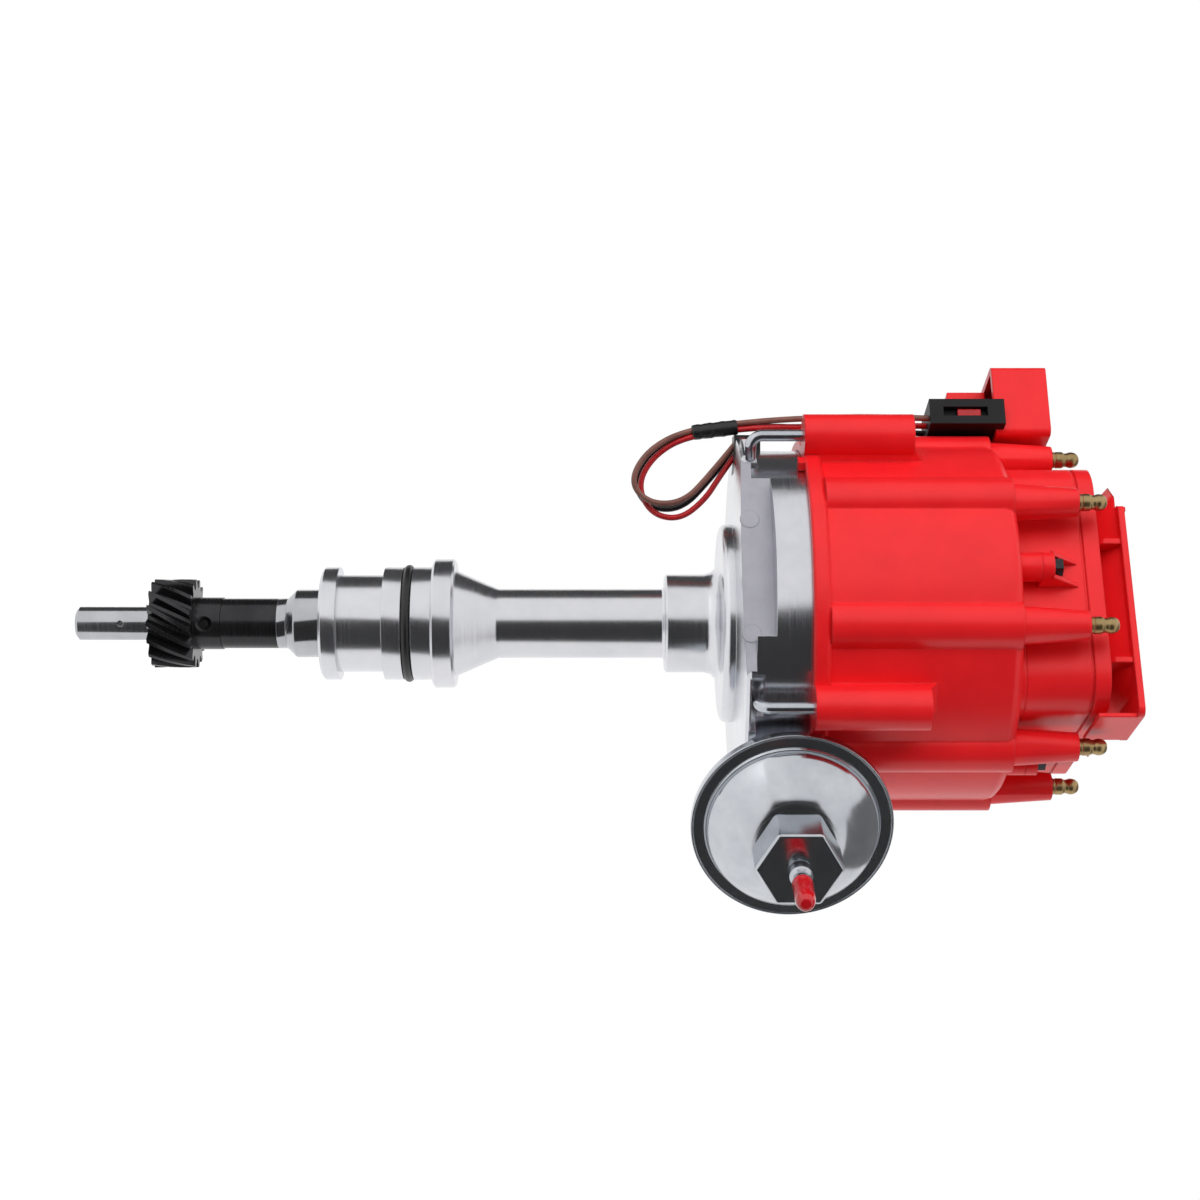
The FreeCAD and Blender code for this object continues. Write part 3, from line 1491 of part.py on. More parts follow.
def harness_plug():
    """The three-way plug, with the window over its lock and the three lead exits."""
    top = COVER_SEAT_Z - LOOSE_GAP
    body = block(PLUG_U0, PLUG_U1, PLUG_V0, PLUG_V1, PLUG_BOTTOM_Z, top)
    cheek = block(PLUG_U0, PLUG_U1, HOOD_HALF_V + LOOSE_GAP, PLUG_V1, top - 1, top + 3)
    window_top = top - PLUG_WINDOW_EDGE
    window = block(
        PLUG_U0 + PLUG_WINDOW_EDGE,
        PLUG_U1 - PLUG_WINDOW_EDGE,
        PLUG_V1 - PLUG_WINDOW_DEPTH,
        PLUG_V1 + 1,
        window_top - PLUG_WINDOW_LENGTH,
        window_top,
    )
    body = body.fuse(cheek).cut(window)
    return moved(body.removeSplitter(), COVER_FRAME)


def plug_exit(v, z):
    """The point where a lead leaves the plug."""
    middle = (PLUG_U0 + PLUG_U1) / 2
    return COVER_FRAME.multVec(Vec(middle, v, z))


def bent_tube(points, radius):
    """A tube along straight runs joined by tangent arcs, with the arcs' radii and its centreline's length."""
    points = [Vec(*point) for point in points]
    edges = []
    radii = []
    start = points[0]
    length = 0
    for before, here, after in zip(points, points[1:], points[2:]):
        back = before - here
        ahead = after - here
        shorter = min(back.Length, ahead.Length)
        back.normalize()
        ahead.normalize()
        half = back.getAngle(ahead) / 2
        cut = 0.45 * shorter
        bend = cut * math.tan(half)
        bisector = (back + ahead).normalize()
        middle = here + bisector * (bend / math.sin(half) - bend)
        edges.append(Part.makeLine(start, here + back * cut))
        edges.append(Part.Arc(here + back * cut, middle, here + ahead * cut).toShape())
        start = here + ahead * cut
        radii.append(bend)
    edges.append(Part.makeLine(start, points[-1]))
    path = Part.Wire(edges)
    for edge in edges:
        length += edge.Length
    direction = (points[1] - points[0]).normalize()
    frame = placement(points[0], direction.cross(Vec(0, 1, 0)).normalize(), direction)
    area = LEAD_SIDES / 2 * radius * radius * math.sin(math.radians(360 / LEAD_SIDES))
    corners = [frame.multVec(heading(360 / LEAD_SIDES * side) * radius) for side in range(LEAD_SIDES)]
    section = Part.makePolygon(corners + corners[:1])
    tube = path.makePipeShell([section], True, True)
    expected = area * length
    print("tube length %.1f, volume ratio %.4f" % (length, tube.Volume / expected))
    print("bend radii", [round(r, 1) for r in radii])
    return tube


# Each lead's route: from the plug down behind the cap, through the sleeve, round the loop, up to the grommet.
LEAD_BROWN = [
    (-74.4, -0.5, 181.0),
    (-75.2, -0.6, 160.0),
    (-74.7, 0.4, 138.0),
    (-73.7, 1.55, 118.0),
    (-70.55, 1.45, 91.5),
    (-62.8, -0.2, 77.2),
    (-51.2, -0.8, 70.9),
    (-43.3, -0.9, 78.2),
    (-43.9, -0.4, 90.6),
    (-54.0, 0.0, 100.2),
    (-66.2, -0.5, 110.2),
]
LEAD_RED = [
    (-72.1, 5.0, 181.0),
    (-72.5, 4.6, 160.0),
    (-71.7, 3.2, 138.0),
    (-71.45, 1.15, 118.0),
    (-68.22, 1.15, 91.5),
    (-61.0, 2.3, 79.5),
    (-50.5, 2.4, 73.8),
    (-40.0, 2.0, 78.6),
    (-37.6, 1.6, 89.0),
    (-44.8, 1.4, 98.3),
    (-53.5, 1.2, 103.8),
    (-62.6, 1.2, 110.2),
]
LEAD_BLACK = [
    (-69.8, 10.5, 181.0),
    (-70.6, 9.6, 160.0),
    (-71.6, 7.0, 138.0),
    (-72.2, 3.3, 118.0),
    (-68.97, 3.3, 91.5),
    (-62.0, 4.3, 78.4),
    (-51.0, 4.8, 72.3),
    (-42.0, 4.6, 78.0),
    (-41.5, 4.2, 90.0),
    (-52.5, 3.8, 100.4),
    (-64.4, 3.4, 110.2),
]


def lead_sleeve():
    """The shrink sleeve that holds the three leads together."""
    bottom = Vec(*SLEEVE_BOTTOM)
    along = Vec(*SLEEVE_TOP) - bottom
    outer = Part.makeCylinder(SLEEVE_R, along.Length, bottom, along)
    bore = Part.makeCylinder(SLEEVE_BORE_R, along.Length + 2, bottom - along / along.Length, along)
    return outer.cut(bore)


def harness_grommet():
    """The rubber grommet in the base's slot, which the leads enter from below."""
    half = GROMMET_WIDTH / 2
    body = block(-WALL_R, -GROMMET_INNER_R, -half, half, GROMMET_BOTTOM_Z, GROMMET_TOP_Z)
    flange_half = half - LOOSE_GAP
    outer = block(-GROMMET_OUTER_R, -WALL_R, -flange_half, flange_half, GROMMET_BOTTOM_Z, GROMMET_TOP_Z)
    return body.fuse(outer).removeSplitter()


# Vacuum canister


def canister_rear_shell():
    """The pressed rear shell, with the hole for the pull rod."""
    s0 = CANISTER_REAR_S
    s1 = CANISTER_RIM_S
    r1 = CANISTER_RIM_R - CANISTER_RIM_T
    t = CANISTER_SHELL_T
    body = faceted(
        [
            (5.5, s0),
            (CANISTER_REAR_R, s0, 2.0),
            (r1, s1 - 4.0, 2.0),
            (r1, s1 - t),
            (CANISTER_RIM_R - t, s1 - t),
            (CANISTER_RIM_R - t, s1),
            (r1 - t, s1),
            (r1 - t, s1 - 3.6, 1.0),
            (CANISTER_REAR_R - 0.6, s0 + t, 1.0),
            (5.5, s0 + t),
        ],
        RIM_FACETS,
    )
    return moved(body, CANISTER_FRAME)


def canister_front_shell():
    """The pressed front shell, its edge crimped around the rear shell's rim."""
    s1 = CANISTER_RIM_S
    t = CANISTER_SHELL_T
    r1 = CANISTER_RIM_R
    inner = r1 - CANISTER_RIM_T
    top = CANISTER_HEX_S
    hub = CANISTER_HEX_FLATS / 2
    body = faceted(
        [
            (inner - t, s1),
            (r1 - t, s1),
            (r1 - t, s1 - t),
            (inner, s1 - t),
            (inner, s1 - 2 * t),
            (r1, s1 - 2 * t, 0.6),
            (r1, s1 + t, 0.6),
            (inner, s1 + t),
            (inner - 1.0, s1 + 6.0, 2.0),
            (hub + 3.0, top, 4.0),
            (7.0, top),
            (7.0, top - t),
            (hub + 2.4, top - t, 3.0),
            (inner - 1.0 - t, s1 + 5.6, 1.5),
        ],
        RIM_FACETS,
    )
    return moved(body, CANISTER_FRAME)


def canister_hex():
    """The hexagonal fitting on the canister's nose."""
    s0 = CANISTER_HEX_S
    s1 = s0 + CANISTER_HEX_LENGTH
    corner_r = CANISTER_HEX_FLATS / 2 / math.cos(math.radians(30))
    chamfer = turned(
        [
            (0, s0),
            (corner_r + 0.1, s0),
            (corner_r + 0.1, s1 - 1.2),
            (CANISTER_HEX_FLATS / 2 - 0.4, s1),
            (0, s1),
        ]
    )
    body = hexagon(CANISTER_HEX_FLATS, s0, s1).common(chamfer)
    return moved(body.cut(rod(NOZZLE_R, s0 - 1, s1 + 1)), CANISTER_FRAME)


def canister_nozzle():
    """The steel nozzle for the vacuum hose."""
    s0 = CANISTER_HEX_S
    s1 = s0 + CANISTER_HEX_LENGTH
    end = s1 + NOZZLE_LENGTH
    bore = NOZZLE_BORE_R
    body = faceted(
        [
            (bore, s0),
            (NOZZLE_R, s0),
            (NOZZLE_R, s1),
            (NOZZLE_COLLAR_R, s1),
            (NOZZLE_COLLAR_R, s1 + NOZZLE_COLLAR_LENGTH - 1.0),
            (NOZZLE_R, s1 + NOZZLE_COLLAR_LENGTH),
            (NOZZLE_R, end - 1.0),
            (NOZZLE_R - 0.6, end),
            (bore, end),
        ],
        SMALL_FACETS,
    )
    return moved(body, CANISTER_FRAME)


def dust_cap():
    """The vinyl cap over the nozzle's end."""
    s0 = CANISTER_HEX_S + CANISTER_HEX_LENGTH + DUST_CAP_START
    end = s0 + DUST_CAP_LENGTH
    bore = NOZZLE_R + SLIDE_GAP
    floor = CANISTER_HEX_S + CANISTER_HEX_LENGTH + NOZZLE_LENGTH + LOOSE_GAP
    body = faceted(
        [
            (0, s0),
            (DUST_CAP_R, s0),
            (DUST_CAP_R, end, DUST_CAP_R * 0.8),
            (0, end),
        ],
        SMALL_FACETS,
    )
    body = body.cut(rod(bore, s0 - 1, floor))
    return moved(body, CANISTER_FRAME)


def diaphragm():
    """The diaphragm with its dished centre."""
    s0 = DIAPHRAGM_S
    t = DIAPHRAGM_T
    body = faceted(
        [
            (0, s0),
            (DIAPHRAGM_R - 9.0, s0, 1.0),
            (DIAPHRAGM_R - 7.0, s0 + 2.0, 1.0),
            (DIAPHRAGM_R, s0 + 2.0),
            (DIAPHRAGM_R, s0 + 2.0 + t),
            (DIAPHRAGM_R - 7.5, s0 + 2.0 + t, 1.0),
            (DIAPHRAGM_R - 9.5, s0 + t, 1.0),
            (0, s0 + t),
        ],
        RIM_FACETS,
    )
    return moved(body, CANISTER_FRAME)


def canister_spring():
    """The return spring in front of the diaphragm."""
    s0 = DIAPHRAGM_S + DIAPHRAGM_T
    wire = 1.2
    height = CANISTER_HEX_S - CANISTER_SHELL_T - s0 - wire
    coil = spring(9.0, wire, height / 4, 4)
    coil.translate(Vec(0, 0, s0 + wire / 2))
    return moved(coil, CANISTER_FRAME)


def pull_rod():
    """The flat rod from the diaphragm to the pickup's pin."""
    start = -CANISTER_OFFSET * math.tan(math.radians(ROD_SWING_DEG / 2))
    half = ROD_HALF_WIDTH
    frame = placement(
        heading(CANISTER_ANGLE + 90) * CANISTER_OFFSET,
        heading(CANISTER_ANGLE),
        Vec(0, 0, 1),
    )
    z0 = CANISTER_Z - ROD_T / 2
    z1 = CANISTER_Z + ROD_T / 2
    body = fused([block(start, DIAPHRAGM_S, -half, half, z0, z1), rod(half, z0, z1, Vec(start, 0, 0))])
    hole = rod(PICKUP_PIN_R + 0.4, z0 - 1, z1 + 1, Vec(start, 0, 0))
    return moved(body.cut(hole), frame)


def canister_bracket():
    """The bracket that carries the canister on the bowl's pad."""
    frame = placement(
        heading(CANISTER_ANGLE + 90) * CANISTER_OFFSET,
        heading(CANISTER_ANGLE),
        Vec(0, 0, 1),
    )
    half = BRACKET_HALF_WIDTH
    z0 = BRACKET_Z
    z1 = z0 + BRACKET_T
    body = prism(rectangle(BRACKET_INNER_S, CANISTER_REAR_S, -half, half, 0.5), z0, z1)
    flange = block(CANISTER_REAR_S - 1.5, CANISTER_REAR_S, -half, half, CANISTER_Z - 16, z1)
    body = body.fuse(flange).removeSplitter()
    for side in (-1, 1):
        place = Vec(BRACKET_SCREW_S, side * BRACKET_SCREW_OFFSET, 0)
        body = body.cut(rod(SCREW_R, z0 - 1, z1 + 1, place))
    return moved(body, frame)


def bracket_screw_places():
    """The two bracket screws on top of the bracket."""
    places = []
    for side in (-1, 1):
        place = heading(CANISTER_ANGLE) * BRACKET_SCREW_S
        place = place + heading(CANISTER_ANGLE + 90) * (CANISTER_OFFSET + side * BRACKET_SCREW_OFFSET)
        places.append(place + Vec(0, 0, BRACKET_Z + BRACKET_T))
    return places


def floor_screws(places):
    """Pan-head screws into the bowl's floor, their heads at the given points."""
    return [
        fused(
            [
                rod(SCREW_R, FLOOR_Z - 2.5, place.z + 0.5, place),
                rod(SCREW_HEAD_R, place.z, place.z + 1.6, place),
            ]
        )
        for place in places
    ]


# Module and capacitor


def module_screw_places():
    """The two screws through the ignition module."""
    middle = (MODULE_INNER + MODULE_OUTER) / 2
    places = []
    for side in (-1, 1):
        place = heading(MODULE_ANGLE) * middle + heading(MODULE_ANGLE + 90) * (side * MODULE_SCREW_OFFSET)
        places.append(place + Vec(0, 0, FLOOR_Z + 3.0))
    return places


def ignition_module():
    """The ignition module on the bowl's floor, with a thin screw ear at each end."""
    frame = placement(Vec(0, 0, 0), heading(MODULE_ANGLE), Vec(0, 0, 1))
    half = MODULE_HALF_LENGTH
    ears = prism(rectangle(MODULE_INNER, MODULE_OUTER, -half, half, 2.0), FLOOR_Z, FLOOR_Z + 3.0)
    body_half = MODULE_SCREW_OFFSET - SCREW_HEAD_R - 0.6
    top = FLOOR_Z + MODULE_HEIGHT
    body = prism(rectangle(MODULE_INNER, MODULE_OUTER, -body_half, body_half, 2.0), FLOOR_Z, top)
    whole = moved(fused([ears, body]), frame)
    for place in module_screw_places():
        whole = whole.cut(rod(SCREW_R, FLOOR_Z - 1, FLOOR_Z + 4, place))
    return whole


def capacitor_screw_place():
    """The screw of the capacitor's strap."""
    frame = placement(Vec(0, 0, 0), heading(FLAT_ANGLE), Vec(0, 0, 1))
    return frame.multVec(Vec(CAPACITOR_DISTANCE, CAPACITOR_LENGTH / 2 + 5.0, FLOOR_Z + 1.2))


def capacitor():
    """The capacitor, a can with a foot under its screw."""
    frame = placement(Vec(0, 0, 0), heading(FLAT_ANGLE), Vec(0, 0, 1))
    half = CAPACITOR_LENGTH / 2
    centre = Vec(CAPACITOR_DISTANCE, -half, FLOOR_Z + CAPACITOR_R)
    can = Part.makeCylinder(CAPACITOR_R, CAPACITOR_LENGTH, centre, Vec(0, 1, 0))
    foot = block(
        CAPACITOR_DISTANCE - 4,
        CAPACITOR_DISTANCE + 4,
        half - 6,
        half + 9,
        FLOOR_Z,
        FLOOR_Z + 1.2,
    )
    body = moved(can.fuse(foot), frame)
    return body.cut(rod(SCREW_R, FLOOR_Z - 1, FLOOR_Z + 3, capacitor_screw_place()))


def main():
    """Build every node and write it."""
    os.makedirs("parts", exist_ok=True)
    lower_bush_bottom = SHANK_BOTTOM_Z
    upper_bush_top = BUSH_TOP_Z
    save("housing", housing())
    save("lower_bushing", bushing(lower_bush_bottom, lower_bush_bottom + BUSH_LENGTH))
    save("upper_bushing", bushing(upper_bush_top - BUSH_LENGTH, upper_bush_top))
    save("housing_o_ring", o_ring())
    save("main_shaft", main_shaft())
    save("drive_gear", drive_gear())
    save("gear_pin", gear_pin())
    save("spacer_sleeve", spacer_sleeve())
    save("thrust_collar", thrust_collar())
    save("advance_cam", advance_cam())
    save("timer_core", timer_core())
    save("weight_base", weight_base())
    save("weight_pins", weight_pins())
    save("weight_a", weight(0))
    save("weight_b", weight(1))
    save("advance_spring_a", advance_spring(0))
    save("advance_spring_b", advance_spring(1))
    save("rotor", rotor())
    save("rotor_contact", rotor_contact())
    save("rotor_screws", rotor_screws())
    save("pickup_plate", pickup_plate())
    save("pickup_coil", pickup_coil())
    save("pickup_magnet", pickup_magnet())
    save("pole_piece", pole_piece())
    save("pickup_clip", pickup_clip())
    save("ignition_module", ignition_module())
    save("module_screws", floor_screws(module_screw_places()))
    save("capacitor", capacitor())
    save("capacitor_screw", floor_screws([capacitor_screw_place()]))
    save("distributor_cap", distributor_cap())
    save("cap_terminals", cap_terminals())
    save("cap_button", cap_button())
    save("button_spring", button_spring())
    for index, angle in enumerate(LATCH_ANGLES):
        save("latch_%d" % (index + 1), latch(angle))
    save("latch_springs", latch_springs())
    save("coil_core", coil_core())
    save("coil_winding", coil_winding())
    save("coil_seal", coil_seal())
    save("coil_screws", coil_screws())
    save("coil_cover", coil_cover())
    save("coil_cover_screws", coil_cover_screws())
    save("harness_plug", harness_plug())
    save("lead_brown", bent_tube(LEAD_BROWN, LEAD_R))
    save("lead_red", bent_tube(LEAD_RED, LEAD_R))
    save("lead_black", bent_tube(LEAD_BLACK, LEAD_R))
    save("lead_sleeve", lead_sleeve())
    save("harness_grommet", harness_grommet())
    save("canister_rear_shell", canister_rear_shell())
    save("canister_front_shell", canister_front_shell())
    save("canister_hex", canister_hex())
    save("canister_nozzle", canister_nozzle())
    save("canister_bracket", canister_bracket())
    save("bracket_screws", floor_screws(bracket_screw_places()))
    save("diaphragm", diaphragm())
    save("pull_rod", pull_rod())
    save("canister_spring", canister_spring())
    save("dust_cap", dust_cap())


main()
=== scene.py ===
import logging
import math
from dataclasses import dataclass
from enum import Enum
from typing import Any, Callable, Iterable, Mapping, Sequence

import bmesh
import bpy
from mathutils import Matrix, Vector


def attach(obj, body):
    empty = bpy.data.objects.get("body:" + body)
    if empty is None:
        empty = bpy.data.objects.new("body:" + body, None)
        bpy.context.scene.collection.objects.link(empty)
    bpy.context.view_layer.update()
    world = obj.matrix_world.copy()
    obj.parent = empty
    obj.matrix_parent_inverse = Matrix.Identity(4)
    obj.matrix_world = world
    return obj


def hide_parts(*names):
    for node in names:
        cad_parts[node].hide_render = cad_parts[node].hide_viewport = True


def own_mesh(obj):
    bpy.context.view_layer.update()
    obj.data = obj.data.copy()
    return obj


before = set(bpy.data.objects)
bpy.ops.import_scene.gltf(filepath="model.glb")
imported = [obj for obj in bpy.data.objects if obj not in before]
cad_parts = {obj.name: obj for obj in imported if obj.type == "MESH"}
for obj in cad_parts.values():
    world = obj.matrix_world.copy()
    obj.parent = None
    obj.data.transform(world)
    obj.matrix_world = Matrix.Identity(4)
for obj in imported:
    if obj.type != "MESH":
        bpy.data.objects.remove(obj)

logging.basicConfig(level=logging.INFO, format="%(message)s")
LOG = logging.getLogger("distributor")

MM = 0.001
ROOT = "housing_body"
WHITE = (1.0, 1.0, 1.0, 1.0)
# In metres: how near points of a CAD mesh are one, what is a sliver, and how near points of a turned piece are one.
SAME_POINT, SLIVER, WELD = 2e-6, 1e-6, 1e-7
# How much of a side an eased corner may take up, and in how many steps it goes round.
EASE_LIMIT, EASE_STEPS = 0.48, 6
Piece, Tree, Socket = bpy.types.Object, bpy.types.NodeTree, bpy.types.NodeSocket
Profile = Sequence[tuple[float, ...]]
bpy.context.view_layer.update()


# Small tools


def linear(code: str) -> tuple[float, float, float, float]:
    """Turns an sRGB hex colour into linear light.

    Args:
        code: a colour such as "#c8102e".

    Returns:
        Red, green, blue and an alpha of 1.
    """
    shares = [int(code[i:i + 2], 16) / 255 for i in (1, 3, 5)]
    light = [s / 12.92 if s <= 0.04045 else ((s + 0.055) / 1.055) ** 2.4 for s in shares]
    return (light[0], light[1], light[2], 1.0)


def add(
    tree: Tree,
    kind: str,
    settings: Mapping[Any, Any] | None = None,
    links: Mapping[Any, Socket] | None = None,
) -> bpy.types.Node:
    """Adds one node with its settings and its incoming links.

    Args:
        tree: the tree that gets the node.
        kind: the node's type name.
        settings: attributes of the node, or values of its inputs by name or number.
        links: what feeds each input, by the input's name or number.

    Returns:
        The new node.
    """
    new = tree.nodes.new(kind)
    for key, value in (settings or {}).items():
        if isinstance(key, str) and key not in new.inputs:
            setattr(new, key, value)
        else:
            new.inputs[key].default_value = value
    for key, socket in (links or {}).items():
        tree.links.new(socket, new.inputs[key])
    return new


def emptied(owner: bpy.types.Material | bpy.types.World) -> Tree:
    """Gives a material or world an empty node tree.

    Args:
        owner: the material or world.

    Returns:
        The tree.
    """
    owner.use_nodes = True
    owner.node_tree.nodes.clear()
    return owner.node_tree


def linked(name: str, data: bpy.types.ID) -> Piece:
    """Makes an object and links it to the scene.

    Args:
        name: its name.
        data: its mesh, curve, lamp or camera.

    Returns:
        The object.
    """
    made = bpy.data.objects.new(name, data)
    bpy.context.scene.collection.objects.link(made)
    return made


def heading(angle: float) -> Vector:
    """A unit vector at an angle in degrees about the shaft."""
    return Vector((math.cos(math.radians(angle)), math.sin(math.radians(angle)), 0))


def axes(origin: Sequence[float], x_dir: Sequence[float], z_dir: Sequence[float]) -> Matrix:
    """The matrix that takes local millimetres to the frame's metres.

    Args:
        origin: the local origin, in millimetres.
        x_dir: where local X points.
        z_dir: where local Z points.

    Returns:
        A four by four matrix.
    """
    x, z = Vector(x_dir).normalized(), Vector(z_dir).normalized()
    turn = Matrix((x, z.cross(x), z)).transposed().to_4x4()
    return Matrix.Diagonal((MM, MM, MM, 1)) @ Matrix.Translation(Vector(origin)) @ turn


SHAFT_AXES = axes((0, 0, 0), (1, 0, 0), (0, 0, 1))
CANISTER_CENTRE = heading(22.5) * 44.0 + Vector((0, 0, 125.4))
CANISTER_AXIS = heading(-67.5)
CANISTER_AXES = axes(CANISTER_CENTRE, (0, 0, -1), CANISTER_AXIS)
COVER_AXES = axes((0, 0, 0), heading(157.5), (0, 0, 1))


def piece_from(name: str, vertices: Iterable, faces: Iterable, sharp: float = 35.0) -> Piece:
    """Makes a smooth-shaded mesh object whose edges are sharp past an angle.

    Args:
        name: the piece's name.
        vertices: points in metres.
        faces: lists of vertex numbers.
        sharp: the angle in degrees past which an edge stays sharp.

    Returns:
        The object, linked to the scene.
    """
    mesh = bpy.data.meshes.new(name)
    mesh.from_pydata([tuple(v) for v in vertices], [], [list(f) for f in faces])
    mesh.update()
    mesh.polygons.foreach_set("use_smooth", [True] * len(mesh.polygons))
    mesh.set_sharp_from_angle(angle=math.radians(sharp))
    return linked(name, mesh)


def from_bmesh(name: str, shape: bmesh.types.BMesh, sharp: float = 35.0) -> Piece:
    """Makes a piece of a bmesh and frees the bmesh.

    Args:
        name: the piece's name.
        shape: the bmesh, in metres.
        sharp: the angle in degrees past which an edge stays sharp.

    Returns:
        The piece.
    """
    shape.verts.index_update()
    vertices = [v.co.copy() for v in shape.verts]
    faces = [[v.index for v in f.verts] for f in shape.faces]
    shape.free()
    return piece_from(name, vertices, faces, sharp)


def baked(made: Piece) -> Piece:
    """Turns an object's live modifiers into plain mesh.

    Args:
        made: the object with modifiers.

    Returns:
        The same object, with the result as its mesh and no modifiers.
    """
    bpy.context.view_layer.update()
    graph = bpy.context.evaluated_depsgraph_get()
    mesh = bpy.data.meshes.new_from_object(made.evaluated_get(graph), preserve_all_data_layers=True, depsgraph=graph)
    made.modifiers.clear()
    old, made.data = made.data, mesh
    bpy.data.meshes.remove(old)
    mesh.name = made.name
    return made


def weighted(made: Piece) -> Piece:
    """Lets flat faces win over the narrow ones beside them, so that they shade flat.

    Args:
        made: the piece.

    Returns:
        The same piece.
    """
    modifier = made.modifiers.new("normals", "WEIGHTED_NORMAL")
    modifier.keep_sharp = True
    modifier.weight = 100
    return baked(made)


def smooth_copy(node: str, name: str, sharp: float = 32.0) -> Piece:
    """A merged, smooth-shaded copy of a CAD node's mesh.

    Args:
        node: the CAD node.
        name: the new piece's name.
        sharp: the angle in degrees past which an edge stays sharp.

    Returns:
        The new piece.
    """
    shape = bmesh.new()
    shape.from_mesh(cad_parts[node].data)
    bmesh.ops.remove_doubles(shape, verts=shape.verts, dist=SAME_POINT)
    bmesh.ops.dissolve_degenerate(shape, edges=shape.edges, dist=SLIVER)
    return weighted(from_bmesh(name, shape, sharp))


def eased(profile: Profile, closed: bool) -> list[tuple[float, float]]:
    """Rounds each corner of a profile that states a radius.

    Args:
        profile: corners (r, s) or (r, s, ease) in millimetres.
        closed: whether the last corner joins the first.

    Returns:
        The points (r, s) of the rounded profile.
    """
    corners = [Vector(c[:2]) for c in profile]
    points: list[tuple[float, float]] = []
    for index, corner in enumerate(profile):
        here = corners[index]
        inner = closed or 0 < index < len(profile) - 1
        if len(corner) < 3 or not inner:
            points.append((here.x, here.y))
            continue
        back = corners[index - 1] - here
        ahead = corners[(index + 1) % len(corners)] - here
        start = here + back.normalized() * min(corner[2], back.length * EASE_LIMIT)
        end = here + ahead.normalized() * min(corner[2], ahead.length * EASE_LIMIT)
        for step in range(EASE_STEPS + 1):
            t = step / EASE_STEPS
            at = start * (1 - t) ** 2 + here * (2 * t * (1 - t)) + end * t * t
            points.append((at.x, at.y))
    return points


def revolved(
    name: str, profile: Profile, place: Matrix, segments: int = 96, closed: bool = False, sharp: float = 30.0
) -> Piece:
    """Turns a profile about local Z into a closed body.

    Args:
        name: the piece's name.
        profile: corners (r, s) or (r, s, ease) in millimetres.
        place: where the local axes lie.
        segments: how many faces go round.
        closed: True for a ring, False for a profile that starts and ends on the axis.
        sharp: the angle in degrees past which an edge stays sharp.

    Returns:
        The new piece.
    """
    points = eased(profile, closed)
    shape = bmesh.new()
    rings: list[list[bmesh.types.BMVert]] = []
    for r, s in points:
        count = 1 if r < SLIVER else segments
        rings.append([
            shape.verts.new(place @ Vector((r * math.cos(a), r * math.sin(a), s)))
            for a in (2 * math.pi * k / segments for k in range(count))
        ])
    for low, high in zip(rings, rings[1:] + rings[:1] if closed else rings[1:]):
        for k in range(segments):
            loop = [low[k % len(low)], low[(k + 1) % len(low)], high[(k + 1) % len(high)], high[k % len(high)]]
            corners = list(dict.fromkeys(loop))
            if len(corners) > 2:
                shape.faces.new(corners)
    bmesh.ops.remove_doubles(shape, verts=shape.verts, dist=WELD)
    bmesh.ops.recalc_face_normals(shape, faces=shape.faces)
    return from_bmesh(name, shape, sharp)


def swept(name: str, points: Sequence[Vector], radii: Sequence[float], sides: int = 24) -> Piece:
    """A round bar along points, closed at both ends.

    Args:
        name: the piece's name.
        points: the centreline in millimetres.
        radii: the radius at each point, in millimetres.
        sides: how many faces go round.

    Returns:
        The new piece, in metres.
    """
    shape = bmesh.new()
    normal = (points[1] - points[0]).orthogonal().normalized()
    rings = []
    for index, point in enumerate(points):
        along = (points[min(index + 1, len(points) - 1)] - points[max(index - 1, 0)]).normalized()
        normal = (normal - along * normal.dot(along)).normalized()
        side = along.cross(normal)
        rings.append([
            shape.verts.new((point + (normal * math.cos(a) + side * math.sin(a)) * radii[index]) * MM)
            for a in (2 * math.pi * k / sides for k in range(sides))
        ])
    for low, high in zip(rings, rings[1:]):
        for k in range(sides):
            shape.faces.new((low[k], low[(k + 1) % sides], high[(k + 1) % sides], high[k]))
    shape.faces.new(rings[0])
    shape.faces.new(rings[-1])
    bmesh.ops.recalc_face_normals(shape, faces=shape.faces)
    return from_bmesh(name, shape, 40)


def cushion_block(
    name: str, low: Sequence[float], high: Sequence[float], place: Matrix, edge: float
) -> Piece:
    """A block with rounded edges, as a moulding or a pressing has.

    Args:
        name: the piece's name.
        low: the lowest corner in local millimetres.
        high: the highest corner in local millimetres.
        place: where the local axes lie.
        edge: the radius of its edges in millimetres.

    Returns:
        The new piece.
    """
    shape = bmesh.new()
    bmesh.ops.create_cube(shape, size=1)
    for vertex in shape.verts:
        vertex.co = Vector([low[i] if vertex.co[i] < 0 else high[i] for i in range(3)])
    bmesh.ops.bevel(shape, geom=shape.edges, offset=edge, segments=3, profile=0.5, affect="EDGES")
    bmesh.ops.transform(shape, matrix=place, verts=shape.verts)
    bmesh.ops.recalc_face_normals(shape, faces=shape.faces)
    return weighted(from_bmesh(name, shape, 50))


def cut_by(made: Piece, cutter: Piece) -> Piece:
    """Takes the cutter out of a piece and removes the cutter.

    Args:
        made: the piece.
        cutter: the shape to take out.

    Returns:
        The piece.
    """
    modifier = made.modifiers.new("cut", "BOOLEAN")
    modifier.operation, modifier.object, modifier.solver = "DIFFERENCE", cutter, "EXACT"
    baked(made)
    bpy.data.objects.remove(cutter)
    return made


def joined(pieces: Sequence[Piece]) -> Piece:
    """Joins pieces into the first one, keeping each one's material.

    Args:
        pieces: the pieces.

    Returns:
        The first piece.
    """
    with bpy.context.temp_override(active_object=pieces[0], selected_editable_objects=list(pieces)):
        bpy.ops.object.join()
    return pieces[0]


